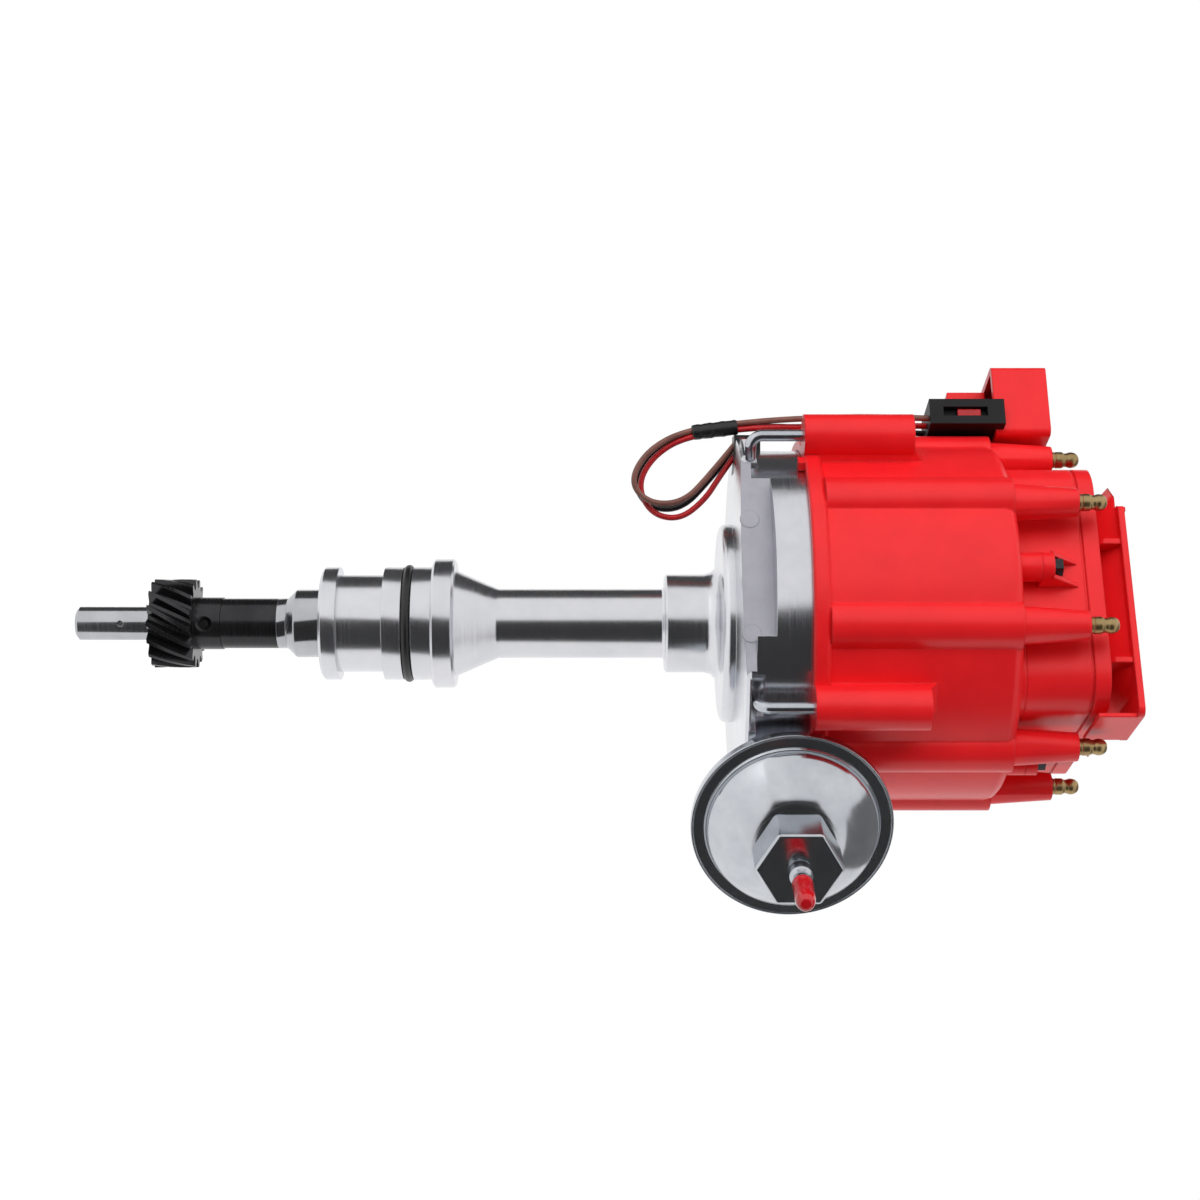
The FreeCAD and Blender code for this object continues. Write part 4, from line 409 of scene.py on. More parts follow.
def dressed(made: Piece, material: bpy.types.Material) -> Piece:
    """Gives a piece one material.

    Args:
        made: the piece, a mesh or a curve.
        material: the material.

    Returns:
        The piece.
    """
    made.data.materials.clear()
    made.data.materials.append(material)
    return made


def placed(made: Piece, finish: "Finishes | None", slot: str, *nodes: str, body: str = ROOT) -> Piece:
    """Gives a piece its finish, hangs it on its body, hides the CAD nodes that it stands for and reports it.

    Args:
        made: the piece.
        finish: its finish, or None where the piece wears it already.
        slot: the slot for its finish; not used.
        nodes: the CAD nodes that it stands for.
        body: the body that it rides on.

    Returns:
        The piece.
    """
    if finish:
        dressed(made, finish.material())
    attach(made, body)
    if nodes:
        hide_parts(*nodes)
    LOG.info("piece %s on %s, %s", made.name, body, "for " + ", ".join(nodes) if nodes else "added")
    return made


# Finishes


@dataclass(frozen=True)
class Finish:
    """A finish with an even colour, softly worn edges and a fine grain.

    grain_mm is the size of the grain and grain_depth how deep it is, both in millimetres.
    """

    name: str
    colour: str
    shade: str
    metallic: float = 0.0
    roughness: float = 0.4
    spread: float = 0.08
    grain_mm: float = 0.5
    grain_depth: float = 0.004
    edge_mm: float = 0.25
    cloud_mm: float = 14.0
    coat: float = 0.0
    coat_roughness: float = 0.06
    ior: float | None = None
    specular: float = 0.5

    def make(self) -> bpy.types.Material:
        """Builds the material.

        Returns:
            The node-based material.
        """
        material = bpy.data.materials.new(self.name)
        tree = emptied(material)
        shader = add(tree, "ShaderNodeBsdfPrincipled", {"Metallic": self.metallic, "Roughness": self.roughness})
        if self.coat:
            shader.inputs["Coat Weight"].default_value = self.coat
            shader.inputs["Coat Roughness"].default_value = self.coat_roughness
        if self.ior is not None:
            shader.inputs["IOR"].default_value = self.ior
        shader.inputs["Specular IOR Level"].default_value = self.specular
        add(tree, "ShaderNodeOutputMaterial", links={"Surface": shader.outputs["BSDF"]})
        place = add(tree, "ShaderNodeTexCoord").outputs["Object"]
        self.paint(tree, shader, self.oriented(tree, place))
        return material

    def oriented(self, tree: Tree, place: Socket) -> Socket:
        """The coordinates that the pattern follows, the object's own unless a finish turns them."""
        return place

    def cloud(self, tree: Tree, place: Socket, size_mm: float) -> Socket:
        """A soft noise.

        Args:
            tree: the material's tree.
            place: the coordinates.
            size_mm: the size of its patches.

        Returns:
            Its value socket.
        """
        settings = {"Scale": 1 / (size_mm * MM), "Detail": 3.0, "Roughness": 0.6}
        return add(tree, "ShaderNodeTexNoise", settings, {"Vector": place}).outputs["Fac"]

    def spread_from(self, tree: Tree, value: Socket, low: float, high: float) -> Socket:
        """Maps a noise's middle range to a range of values.

        Args:
            tree: the material's tree.
            value: the noise.
            low: the value at the noise's dark end.
            high: the value at its bright end.

        Returns:
            The mapped value socket.
        """
        settings = {"From Min": 0.3, "From Max": 0.7, "To Min": low, "To Max": high}
        return add(tree, "ShaderNodeMapRange", settings, {"Value": value}).outputs["Result"]

    def relief(self, tree: Tree, place: Socket) -> Socket:
        """The height of the surface's fine relief, from 0 to 1."""
        return self.cloud(tree, place, self.grain_mm)

    def paint(self, tree: Tree, shader: bpy.types.Node, place: Socket) -> None:
        """Feeds colour, roughness and relief to the shader.

        Args:
            tree: the material's tree.
            shader: the surface shader.
            place: the coordinates.
        """
        share = self.spread_from(tree, self.cloud(tree, place, self.cloud_mm), 0.0, 1.0)
        tones = {"data_type": "RGBA", 6: linear(self.shade), 7: linear(self.colour)}
        mixed = add(tree, "ShaderNodeMix", tones, {0: share})
        tree.links.new(mixed.outputs[2], shader.inputs["Base Color"])
        height = self.relief(tree, place)
        low = max(self.roughness - self.spread, 0.02)
        rough = self.spread_from(tree, height, low, self.roughness + self.spread)
        tree.links.new(rough, shader.inputs["Roughness"])
        edge = add(tree, "ShaderNodeBevel", {"samples": 4, "Radius": self.edge_mm * MM})
        links = {"Height": height, "Normal": edge.outputs[0]}
        bump = add(tree, "ShaderNodeBump", {"Distance": self.grain_depth * MM}, links)
        tree.links.new(bump.outputs["Normal"], shader.inputs["Normal"])


@dataclass(frozen=True)
class LatheTurned(Finish):
    """Metal turned on a lathe: rings round its axis, at the tool's feed per turn.

    feed_mm is the spacing of the rings. The real feed is about 0.1 mm, drawn wider so that it shows.
    """

    feed_mm: float = 0.55
    centre: tuple[float, float, float] = (0.0, 0.0, 0.0)
    turn: tuple[float, float, float] = (0.0, 0.0, 0.0)

    def oriented(self, tree: Tree, place: Socket) -> Socket:
        """Puts the turning axis on Z.

        Args:
            tree: the material's tree.
            place: the object's coordinates.

        Returns:
            The turned coordinates.
        """
        shift = {"operation": "SUBTRACT", 1: [c * MM for c in self.centre]}
        moved = add(tree, "ShaderNodeVectorMath", shift, {0: place}).outputs["Vector"]
        settings = {"rotation_type": "EULER_XYZ", "invert": True, "Rotation": [math.radians(a) for a in self.turn]}
        return add(tree, "ShaderNodeVectorRotate", settings, {"Vector": moved}).outputs["Vector"]

    def relief(self, tree: Tree, place: Socket) -> Socket:
        """Rings along the axis on round faces and about it on end faces.

        Args:
            tree: the material's tree.
            place: the turned coordinates.

        Returns:
            The height, from 0 to 1.
        """
        parts = add(tree, "ShaderNodeSeparateXYZ", links={0: place}).outputs
        flat = add(tree, "ShaderNodeCombineXYZ", links={0: parts[0], 1: parts[1]}).outputs[0]
        radius = add(tree, "ShaderNodeVectorMath", {"operation": "LENGTH"}, {0: flat}).outputs["Value"]
        along = add(tree, "ShaderNodeMath", {"operation": "ADD"}, {0: radius, 1: parts[2]}).outputs[0]
        settings = {"noise_dimensions": "1D", "Scale": 1 / (self.feed_mm * MM), "Detail": 4.0, "Roughness": 0.7}
        return add(tree, "ShaderNodeTexNoise", settings, {"W": along}).outputs["Fac"]


@dataclass(frozen=True)
class SandCast(Finish):
    """Aluminium as cast in sand: a coarse grain with small pits.

    pit_share is the size of a pit next to that of a grain.
    """

    pit_share: float = 0.6

    def relief(self, tree: Tree, place: Socket) -> Socket:
        """Grains with pits between them.

        Args:
            tree: the material's tree.
            place: the coordinates.

        Returns:
            The height, from 0 to 1.
        """
        scale = {"Scale": 1 / (self.grain_mm * MM)}
        grains = add(tree, "ShaderNodeTexVoronoi", scale, {"Vector": place}).outputs["Distance"]
        fine = self.cloud(tree, place, self.grain_mm * self.pit_share)
        return add(tree, "ShaderNodeMath", {"operation": "MULTIPLY"}, {0: grains, 1: fine}).outputs[0]


class Finishes(Enum):
    """Every finish of the distributor, by what it is and how it was made."""

    # Housing: aluminium turned bright, so it mirrors the room in rings.
    TURNED_ALUMINIUM = LatheTurned(
        "aluminium_turned", "#dadade", "#d0d1d6", 1.0, 0.22, 0.04, grain_depth=0.0006, edge_mm=0.35, feed_mm=0.6
    )
    # The bowl's wall is machined with a blunter tool, so it is a little duller.
    MACHINED_ALUMINIUM = LatheTurned(
        "aluminium_machined", "#d6d6dc", "#caccd2", 1.0, 0.2, 0.04, grain_depth=0.0005, edge_mm=0.35, feed_mm=0.9
    )
    # The flat side is left as cast: a pale, matt, sandy grey.
    CAST_ALUMINIUM = SandCast(
        "aluminium_sand_cast", "#acabb3", "#9f9ea7", 0.35, 0.62, 0.1, grain_mm=0.55, grain_depth=0.05, edge_mm=0.6
    )
    BRONZE = Finish("bronze_sintered", "#a8794c", "#8d6540", 1.0, 0.42, grain_mm=0.25)
    # Ground steel: bright with fine rings.
    GROUND_STEEL = LatheTurned("steel_ground", "#bcbdc0", "#aaabaf", 1.0, 0.15, 0.04, grain_depth=0.0008, feed_mm=0.5)
    PRESSED_STEEL = Finish("steel_pressed", "#a2a3a6", "#8f9094", 1.0, 0.34, grain_mm=0.8)
    SINTERED_STEEL = Finish("steel_sintered", "#7d7e80", "#6b6c6f", 1.0, 0.45, grain_mm=0.2)
    # Black oxide on cut steel: almost black, with an oily sheen.
    BLACK_OXIDE = LatheTurned(
        "steel_black_oxide", "#3f3f41", "#313133", 0.85, 0.24, 0.06, grain_depth=0.001, feed_mm=0.7
    )
    # Zinc plated over drawn or pressed steel: bright with a faint blue.
    ZINC_PLATE = Finish("steel_zinc_plated", "#c3c6cb", "#b3b7be", 1.0, 0.2, 0.03, grain_mm=2.0, grain_depth=0.0008)
    # The canister's shells are spun and plated, so hairlines run round their axis, which lies level.
    SPUN_ZINC = LatheTurned(
        "steel_spun_zinc_plated", "#c6c9ce", "#b4b8be", 1.0, 0.16, 0.04, grain_depth=0.001, feed_mm=0.35,
        centre=tuple(CANISTER_CENTRE), turn=(90.0, 0.0, 22.5),
    )
    # Glass-filled polyester moulded in bright red: smooth with a soft gloss.
    RED_MOULDING = Finish(
        "polyester_moulded_red", "#ee2227", "#e21d23", 0.0, 0.32, 0.02, grain_mm=1.1, grain_depth=0.002, edge_mm=0.9,
        cloud_mm=22.0, ior=1.5, specular=0.32,
    )
    # Nylon moulded in black, with a finely eroded, dull skin.
    BLACK_MOULDING = Finish(
        "nylon_moulded_black", "#161618", "#101012", 0.0, 0.5, 0.06, grain_mm=0.4, edge_mm=0.5, specular=0.3
    )
    EPOXY = Finish("epoxy_potted_black", "#17171a", "#101013", 0.0, 0.25, grain_mm=3.0, edge_mm=0.3)
    CARBON = Finish("carbon_pressed", "#2b2b2d", "#1f1f21", 0.0, 0.5, grain_mm=0.3)
    FERRITE = Finish("ferrite_sintered", "#3c3a3a", "#2f2e2e", 0.0, 0.6, grain_mm=0.4)
    RUBBER = Finish("nitrile_rubber_moulded", "#1a1a1b", "#121213", 0.0, 0.38, grain_mm=0.5)
    # Brass turned and left in the air, so its yellow has dulled a little.
    BRASS = LatheTurned("brass_turned", "#b39a70", "#9c8359", 1.0, 0.34, 0.05, grain_depth=0.001, feed_mm=0.4)
    # Extruded vinyl insulation: smooth with a dull gloss.
    BROWN_LEAD = Finish("vinyl_lead_brown", "#85574c", "#6f463d", 0.0, 0.36, grain_mm=1.6, cloud_mm=6.0)
    RED_LEAD = Finish("vinyl_lead_red", "#c01a20", "#a5131a", 0.0, 0.32, grain_mm=1.6, cloud_mm=6.0)
    BLACK_LEAD = Finish("vinyl_lead_black", "#1c1b1c", "#151415", 0.0, 0.34, grain_mm=1.6, cloud_mm=6.0)
    # Heat-shrunk polyolefin: satin, slightly rippled over the leads.
    HEAT_SHRINK = Finish("polyolefin_heat_shrunk", "#1a1a1b", "#131314", 0.0, 0.33, grain_mm=2.2, grain_depth=0.05)
    # Dipped vinyl: soft, deep red with a wet gloss.
    DIPPED_VINYL = Finish("vinyl_dipped_red", "#d3131f", "#b90e1a", 0.0, 0.18, 0.03, grain_mm=2.5, coat=0.4)
    RED_LATCH = Finish("nylon_moulded_red", "#b3161d", "#9c1219", 0.0, 0.35, grain_mm=0.5)

    def material(self) -> bpy.types.Material:
        """The finish's material, built on first use."""
        found = bpy.data.materials.get(self.value.name)
        return found or self.value.make()


# Studio


@dataclass
class Studio:
    """Camera, lamps, cards, floor and world."""

    camera_place: tuple[float, float, float] = (-0.0085, -0.745, 0.0602)
    lens: float = 61.47
    centre: tuple[float, float, float] = (0.0, 0.0, 0.06)
    floor_z: float = -0.55
    floor_side: float = 12.0
    floor_grey: float = 0.42
    floor_glow: float = 0.72
    world_light: float = 0.8
    key_power: float = 14.5
    fill_power: float = 5.0

    def build(self) -> None:
        """Makes the camera, then the light, the cards and the floor."""
        self.camera()
        self.world()
        self.lamp("softbox", -47.0, 1.25, (1.05, 1.7), self.key_power)
        self.lamp("fill_box", 92.0, 1.35, (1.25, 1.7), self.fill_power)
        self.card("dark_card_front", 26.5, 1.3, (1.95, 1.9), 0.045)
        self.card("dark_card_side", -122.0, 1.3, (1.35, 1.9), 0.075)
        self.card("grey_card_above", 113.0, 1.3, (1.3, 1.3), 0.22, rise=67.0)
        self.floor()

    def camera(self) -> None:
        """The camera looks straight at the shaft's side, with the cap to the right."""
        data = bpy.data.cameras.new("camera")
        data.lens, data.sensor_width, data.clip_start, data.clip_end = self.lens, 36.0, 0.01, 50.0
        camera = linked("camera", data)
        right, up, back = Vector((0, 0, 1)), Vector((-1, 0, 0)), Vector((0, -1, 0))
        camera.matrix_world = Matrix.Translation(self.camera_place) @ Matrix((right, up, back)).transposed().to_4x4()
        bpy.context.scene.camera = camera

    def world(self) -> None:
        """White where it is looked at or mirrored, and softer as a light."""
        world = bpy.data.worlds.new("studio")
        tree = emptied(world)
        seen = self.seen(tree, "Is Camera Ray", "Is Glossy Ray", "Is Transmission Ray")
        levels = {"To Min": self.world_light, "To Max": 1.0}
        strength = add(tree, "ShaderNodeMapRange", levels, {"Value": seen}).outputs["Result"]
        light = add(tree, "ShaderNodeBackground", {"Color": WHITE}, {"Strength": strength})
        add(tree, "ShaderNodeOutputWorld", links={"Surface": light.outputs[0]})
        bpy.context.scene.world = world

    def seen(self, tree: Tree, *rays: str) -> Socket:
        """Tells the rays that look at something from those that only light it.

        Args:
            tree: the material's or world's tree.
            rays: the Light Path outputs that count as looking.

        Returns:
            A value that is 1 for them and 0 for the rest.
        """
        path = add(tree, "ShaderNodeLightPath").outputs
        share = path[rays[0]]
        for ray in rays[1:]:
            share = add(tree, "ShaderNodeMath", {"operation": "MAXIMUM"}, {0: share, 1: path[ray]}).outputs[0]
        return share

    def facing(self, angle: float, distance: float, rise: float = 0.0) -> Matrix:
        """The place of a card round the shaft, facing it.

        Args:
            angle: degrees from the camera's side towards +X.
            distance: metres from the middle.
            rise: degrees up from level.

        Returns:
            A matrix whose local -Z looks at the middle.
        """
        level, lift = math.cos(math.radians(rise)), math.sin(math.radians(rise))
        out = Vector((math.sin(math.radians(angle)) * level, -math.cos(math.radians(angle)) * level, lift))
        right = Vector((0, 0, 1)).cross(out).normalized()
        turn = Matrix((right, out.cross(right), out)).transposed().to_4x4()
        return Matrix.Translation(Vector(self.centre) + out * distance) @ turn

    def lamp(self, name: str, angle: float, distance: float, size: tuple[float, float], power: float) -> None:
        """Adds a large soft lamp that is neither looked at nor mirrored, so metal shows the white room there.

        Args:
            name: the lamp's name.
            angle: degrees from the camera's side towards +X.
            distance: metres from the middle.
            size: its width and height in metres.
            power: its power in watts.
        """
        data = bpy.data.lights.new(name, "AREA")
        data.shape, data.size, data.size_y, data.energy = "RECTANGLE", *size, power
        lamp = linked(name, data)
        lamp.matrix_world = self.facing(angle, distance)
        lamp.visible_camera = False
        lamp.visible_glossy = False

    def card(
        self, name: str, angle: float, distance: float, size: tuple[float, float], level: float, rise: float = 0.0
    ) -> None:
        """Adds a dark card, which gives the metal its dark bands.

        Args:
            name: the card's name.
            angle: degrees from the camera's side towards +X.
            distance: metres from the middle.
            size: its width and height in metres.
            level: how bright it is, where 1 is white.
            rise: degrees up from level. A raised card is only mirrored and takes no light away.
        """
        material = bpy.data.materials.new(name)
        tree = emptied(material)
        glow = add(tree, "ShaderNodeEmission", {"Color": WHITE, "Strength": level})
        add(tree, "ShaderNodeOutputMaterial", links={"Surface": glow.outputs[0]})
        made = self.sheet(name, self.facing(angle, distance, rise), size, material)
        made.visible_camera = False
        made.visible_shadow = False
        made.visible_diffuse = not rise

    def floor(self) -> None:
        """Adds a pale floor that stays white but keeps a soft shadow."""
        material = bpy.data.materials.new("paper_floor")
        tree = emptied(material)
        seen = self.seen(tree, "Is Camera Ray", "Is Glossy Ray")
        level = add(tree, "ShaderNodeMath", {"operation": "MULTIPLY", 1: self.floor_glow}, {0: seen})
        glow = add(tree, "ShaderNodeEmission", {"Color": WHITE}, {"Strength": level.outputs[0]})
        paper = add(tree, "ShaderNodeBsdfDiffuse", {"Color": (*[self.floor_grey] * 3, 1.0)})
        both = add(tree, "ShaderNodeAddShader", links={0: glow.outputs[0], 1: paper.outputs[0]})
        add(tree, "ShaderNodeOutputMaterial", links={"Surface": both.outputs[0]})
        place = Matrix.Translation((0, 0, self.floor_z))
        self.sheet("floor", place, (self.floor_side, self.floor_side), material)

    def sheet(self, name: str, place: Matrix, size: tuple[float, float], material: bpy.types.Material) -> Piece:
        """Makes a flat sheet that belongs to the studio.

        Args:
            name: the sheet's name.
            place: its middle and its turn.
            size: its width and height in metres.
            material: its material.

        Returns:
            The sheet.
        """
        x, y = size[0] / 2, size[1] / 2
        corners = [place @ Vector(c) for c in ((-x, -y, 0), (x, -y, 0), (x, y, 0), (-x, y, 0))]
        made = dressed(piece_from(name, corners, [(0, 1, 2, 3)]), material)
        return made


# Harness


@dataclass(frozen=True)
class Lead:
    """One lead: its route in metres, its real length and its finish."""

    node: str
    finish: Finishes
    slot: str
    length: float
    route: tuple[tuple[float, float, float], ...]


@dataclass
class Harness:
    """The three-way plug and the three leads that loop into the housing."""

    diameter: float = 0.0022
    leads: tuple[Lead, ...] = (
        Lead("lead_brown", Finishes.BROWN_LEAD, "brown_lead", 0.1692, (
            (-0.0744, -0.0005, 0.181), (-0.0752, -0.0006, 0.160), (-0.0747, 0.0004, 0.138), (-0.0737, 0.00155, 0.118),
            (-0.07055, 0.00145, 0.0915), (-0.0628, -0.0002, 0.0772), (-0.0512, -0.0008, 0.0709),
            (-0.0433, -0.0009, 0.0782), (-0.0439, -0.0004, 0.0906), (-0.054, 0.0, 0.1002), (-0.0662, -0.0005, 0.1102),
        )),
        Lead("lead_red", Finishes.RED_LEAD, "red_lead", 0.1686, (
            (-0.0721, 0.005, 0.181), (-0.0725, 0.0046, 0.160), (-0.0717, 0.0032, 0.138), (-0.07145, 0.00115, 0.118),
            (-0.06822, 0.00115, 0.0915), (-0.061, 0.0023, 0.0795), (-0.0505, 0.0024, 0.0738), (-0.040, 0.002, 0.0786),
            (-0.0376, 0.0016, 0.089), (-0.0448, 0.0014, 0.0983), (-0.0535, 0.0012, 0.1038), (-0.0626, 0.0012, 0.1102),
        )),
        Lead("lead_black", Finishes.BLACK_LEAD, "black_plastic", 0.1680, (
            (-0.0698, 0.0105, 0.181), (-0.0706, 0.0096, 0.160), (-0.0716, 0.007, 0.138), (-0.0722, 0.0033, 0.118),
            (-0.06897, 0.0033, 0.0915), (-0.062, 0.0043, 0.0784), (-0.051, 0.0048, 0.0723), (-0.042, 0.0046, 0.078),
            (-0.0415, 0.0042, 0.090), (-0.0525, 0.0038, 0.1004), (-0.0644, 0.0034, 0.1102),
        )),
    )
    sleeve_top: tuple[float, float, float] = (-71.5, 2.0, 110.2)
    sleeve_bottom: tuple[float, float, float] = (-69.5, 2.0, 93.8)
    sleeve_r: float = 2.95
    sleeve_bore: float = 2.5
    sleeve_steps: int = 26
    tongue: tuple[tuple[float, float, float], ...] = ((68.0, 30.1, 189.7), (71.0, 32.0, 198.2))

    def build(self) -> None:
        """Makes the leads first, then the sleeve, the plug with the red tongue in its window, and the grommet."""
        for lead in self.leads:
            self.lead(lead)
        self.sleeve()
        plug = smooth_copy("harness_plug", "harness_plug_moulded")
        placed(plug, Finishes.BLACK_MOULDING, "black_plastic", "harness_plug")
        placed(cushion_block("plug_lock_tongue", *self.tongue, COVER_AXES, 0.4), Finishes.RED_LATCH, "red_plastic")
        grommet = smooth_copy("harness_grommet", "harness_grommet_moulded")
        placed(grommet, Finishes.RUBBER, "black_rubber", "harness_grommet")

    def lead(self, lead: Lead) -> None:
        """Args:
            lead: the lead's route, length and finish.
        """
        data = bpy.data.curves.new(lead.node + "_insulation", "CURVE")
        data.dimensions = "3D"
        data.bevel_depth = self.diameter / 2
        data.bevel_resolution = 4
        data.use_fill_caps = True
        data.resolution_u = 12
        spline = data.splines.new("NURBS")
        spline.points.add(len(lead.route) - 1)
        for point, at in zip(spline.points, lead.route):
            point.co = (*at, 1.0)
        spline.order_u = 3
        spline.use_endpoint_u = True
        made = placed(linked(lead.node + "_insulation", data), lead.finish, lead.slot, lead.node)

    def sleeve(self) -> None:
        """Makes the shrunk sleeve, pinched where the leads lie under it."""
        top, bottom = Vector(self.sleeve_top), Vector(self.sleeve_bottom)
        along = top - bottom
        profile: list[tuple[float, float]] = []
        for step in range(self.sleeve_steps + 1):
            t = step / self.sleeve_steps
            # Two waves lie over each other, and both ends shrink in.
            ripple = 0.10 * math.sin(t * 21.0) + 0.05 * math.sin(t * 47.0 + 1.0)
            taper = 0.32 * (math.exp(-t * 22) + math.exp(-(1 - t) * 22))
            profile.append((self.sleeve_r - 0.16 + ripple - taper, along.length * t))
        profile += [(self.sleeve_bore, along.length - 0.05), (self.sleeve_bore, 0.05)]
        made = revolved("lead_sleeve_shrunk", profile, axes(bottom, (0, 1, 0), along), 40, closed=True)
        placed(made, Finishes.HEAT_SHRINK, "black_plastic", "lead_sleeve")


# Housing and drive train


@dataclass
class Housing:
    """The cast and turned housing with its O-ring.

    level_face, side_face and flat_face are cosines, which tell a face's kind by how its normal leans.
    """

    flat_angle: float = -112.5
    flat_min: float = 48.0
    level_face: float = 0.9
    side_face: float = 0.5
    flat_face: float = 0.97
    wall_r: float = 37.0
    wall_z: tuple[float, float] = (101.0, 135.0)
    land_z: float = 112.0
    step_z: float = 120.5
    cast_r: float = 66.0
    flat_distance: float = 53.3
    marks: tuple[tuple[float, float], ...] = ((-17.2, 111.45), (25.0, 111.05))
    mark_r: float = 3.2
    o_ring_inside: float = 18.0
    o_ring_r: float = 1.65
    o_ring_z: float = -8.95

    def build(self) -> None:
        """Makes the housing with its turned, machined and cast faces, then the O-ring."""
        made = smooth_copy("housing", "housing_casting", 30)
        for finish in (Finishes.TURNED_ALUMINIUM, Finishes.MACHINED_ALUMINIUM, Finishes.CAST_ALUMINIUM):
            made.data.materials.append(finish.material())
        machined, cast = 1, 2
        side = heading(self.flat_angle)
        for face in made.data.polygons:
            centre, turned_to = face.center / MM, face.normal.dot(side)
            on_side = centre.dot(side) > self.flat_min and abs(face.normal.z) < self.level_face
            if on_side and turned_to > self.side_face:
                flat = turned_to > self.flat_face or centre.z < self.land_z
                left_cast = flat and centre.xy.length < self.cast_r and centre.z < self.step_z
                face.material_index = cast if left_cast else machined
            elif self.wall_z[0] < centre.z < self.wall_z[1] and centre.xy.length > self.wall_r:
                face.material_index = machined
        marks = [self.ejector_mark(along, z) for along, z in self.marks]
        placed(joined([made, *marks]), None, "cast_aluminium", "housing")
        r, middle, turns = self.o_ring_r, self.o_ring_inside + self.o_ring_r, [2 * math.pi * k / 20 for k in range(20)]
        section = [(middle + r * math.cos(a), self.o_ring_z + r * math.sin(a)) for a in turns]
        ring = revolved("housing_o_ring_moulded", section, SHAFT_AXES, 128, closed=True)
        placed(ring, Finishes.RUBBER, "black_rubber", "housing_o_ring")

    def ejector_mark(self, along: float, z: float) -> Piece:
        """Makes the shallow ring that an ejector pin left on the flat side.

        Args:
            along: its place along the flat, in millimetres.
            z: its height, in millimetres.

        Returns:
            The ring, in the cast finish.
        """
        side = heading(self.flat_angle)
        origin = side * self.flat_distance + heading(self.flat_angle + 90) * along + Vector((0, 0, z))
        r = self.mark_r
        ring = revolved("ejector_mark", [
            (0, -0.5), (r + 0.1, -0.5), (r + 0.1, 0.05, 0.03), (r - 0.1, 0.22, 0.08), (r - 0.4, 0.06, 0.05), (0, 0.08),
        ], axes(origin, (0, 0, 1), side), 40)
        return dressed(ring, Finishes.CAST_ALUMINIUM.material())


@dataclass
class DriveTrain:
    """The shaft with its gear, pin, spacer and thrust collar."""

    body: str = "shaft"
    pieces: tuple[tuple[str, str, Finishes, str], ...] = (
        ("main_shaft", "main_shaft_ground", Finishes.GROUND_STEEL, "steel"),
        ("drive_gear", "drive_gear_cut", Finishes.BLACK_OXIDE, "black_steel"),
        ("gear_pin", "gear_pin_rolled", Finishes.BLACK_OXIDE, "steel"),
        ("spacer_sleeve", "spacer_sleeve_blackened", Finishes.BLACK_OXIDE, "black_steel"),
        ("thrust_collar", "thrust_collar_turned", Finishes.GROUND_STEEL, "steel"),
    )

    def build(self) -> None:
        """Makes each piece smooth and gives it its finish."""
        for node, name, finish, slot in self.pieces:
            placed(smooth_copy(node, name, 28), finish, slot, node, body=self.body)


# Cap, terminals and latches


def ring_tree() -> bpy.types.GeometryNodeTree:
    """Builds the tree that sets copies of a shape round the shaft.

    Returns:
        A tree with the inputs Shape, Count, Pitch radius, First angle and Finish.
    """
    tree = bpy.data.node_groups.new("ring_of_copies", "GeometryNodeTree")
    inputs = {
        "Shape": "Geometry", "Count": "Int", "Pitch radius": "Float", "First angle": "Float", "Finish": "Material",
    }
    for name, kind in inputs.items():
        tree.interface.new_socket(name, in_out="INPUT", socket_type="NodeSocket" + kind)
    tree.interface.new_socket("Result", in_out="OUTPUT", socket_type="NodeSocketGeometry")
    given = add(tree, "NodeGroupInput").outputs
    index = add(tree, "GeometryNodeInputIndex").outputs[0]
    pitch = add(tree, "ShaderNodeMath", {"operation": "DIVIDE", 0: 2 * math.pi}, {1: given["Count"]}).outputs[0]
    steps = {0: index, 1: pitch, 2: given["First angle"]}
    angle = add(tree, "ShaderNodeMath", {"operation": "MULTIPLY_ADD"}, steps).outputs[0]
    spots = {}
    for axis, operation in enumerate(("COSINE", "SINE")):
        share = add(tree, "ShaderNodeMath", {"operation": operation}, {0: angle}).outputs[0]
        links = {0: share, 1: given["Pitch radius"]}
        spots[axis] = add(tree, "ShaderNodeMath", {"operation": "MULTIPLY"}, links).outputs[0]
    place = add(tree, "ShaderNodeCombineXYZ", links=spots).outputs[0]
    turn = add(tree, "ShaderNodeCombineXYZ", links={2: angle}).outputs[0]
    points = add(tree, "GeometryNodePoints", links={"Count": given["Count"], "Position": place}).outputs[0]
    links = {"Points": points, "Instance": given["Shape"], "Rotation": turn}
    copies = add(tree, "GeometryNodeInstanceOnPoints", links=links).outputs[0]
    real = add(tree, "GeometryNodeRealizeInstances", links={0: copies}).outputs[0]
    finished = add(tree, "GeometryNodeSetMaterial", links={"Geometry": real, "Material": given["Finish"]}).outputs[0]
    add(tree, "NodeGroupOutput", links={0: finished})
    return tree


def ring_of(
    made: Piece, tree: bpy.types.GeometryNodeTree, count: int, radius: float, first: float,
    material: bpy.types.Material,
) -> Piece:
    """Turns one shape into a ring of copies.

    Args:
        made: the shape, built about local Z at the middle.
        tree: the tree from ring_tree.
        count: how many copies.
        radius: the pitch radius in metres.
        first: the first copy's angle in degrees.
        material: the finish of them all.

    Returns:
        The piece with all its copies as plain mesh.
    """
    modifier = made.modifiers.new("ring", "NODES")
    modifier.node_group = tree
    values = {"Count": count, "Pitch radius": radius, "First angle": math.radians(first), "Finish": material}
    for item in tree.interface.items_tree:
        if item.item_type == "SOCKET" and item.in_out == "INPUT" and item.name in values:
            modifier[item.identifier] = values[item.name]
    return baked(made)


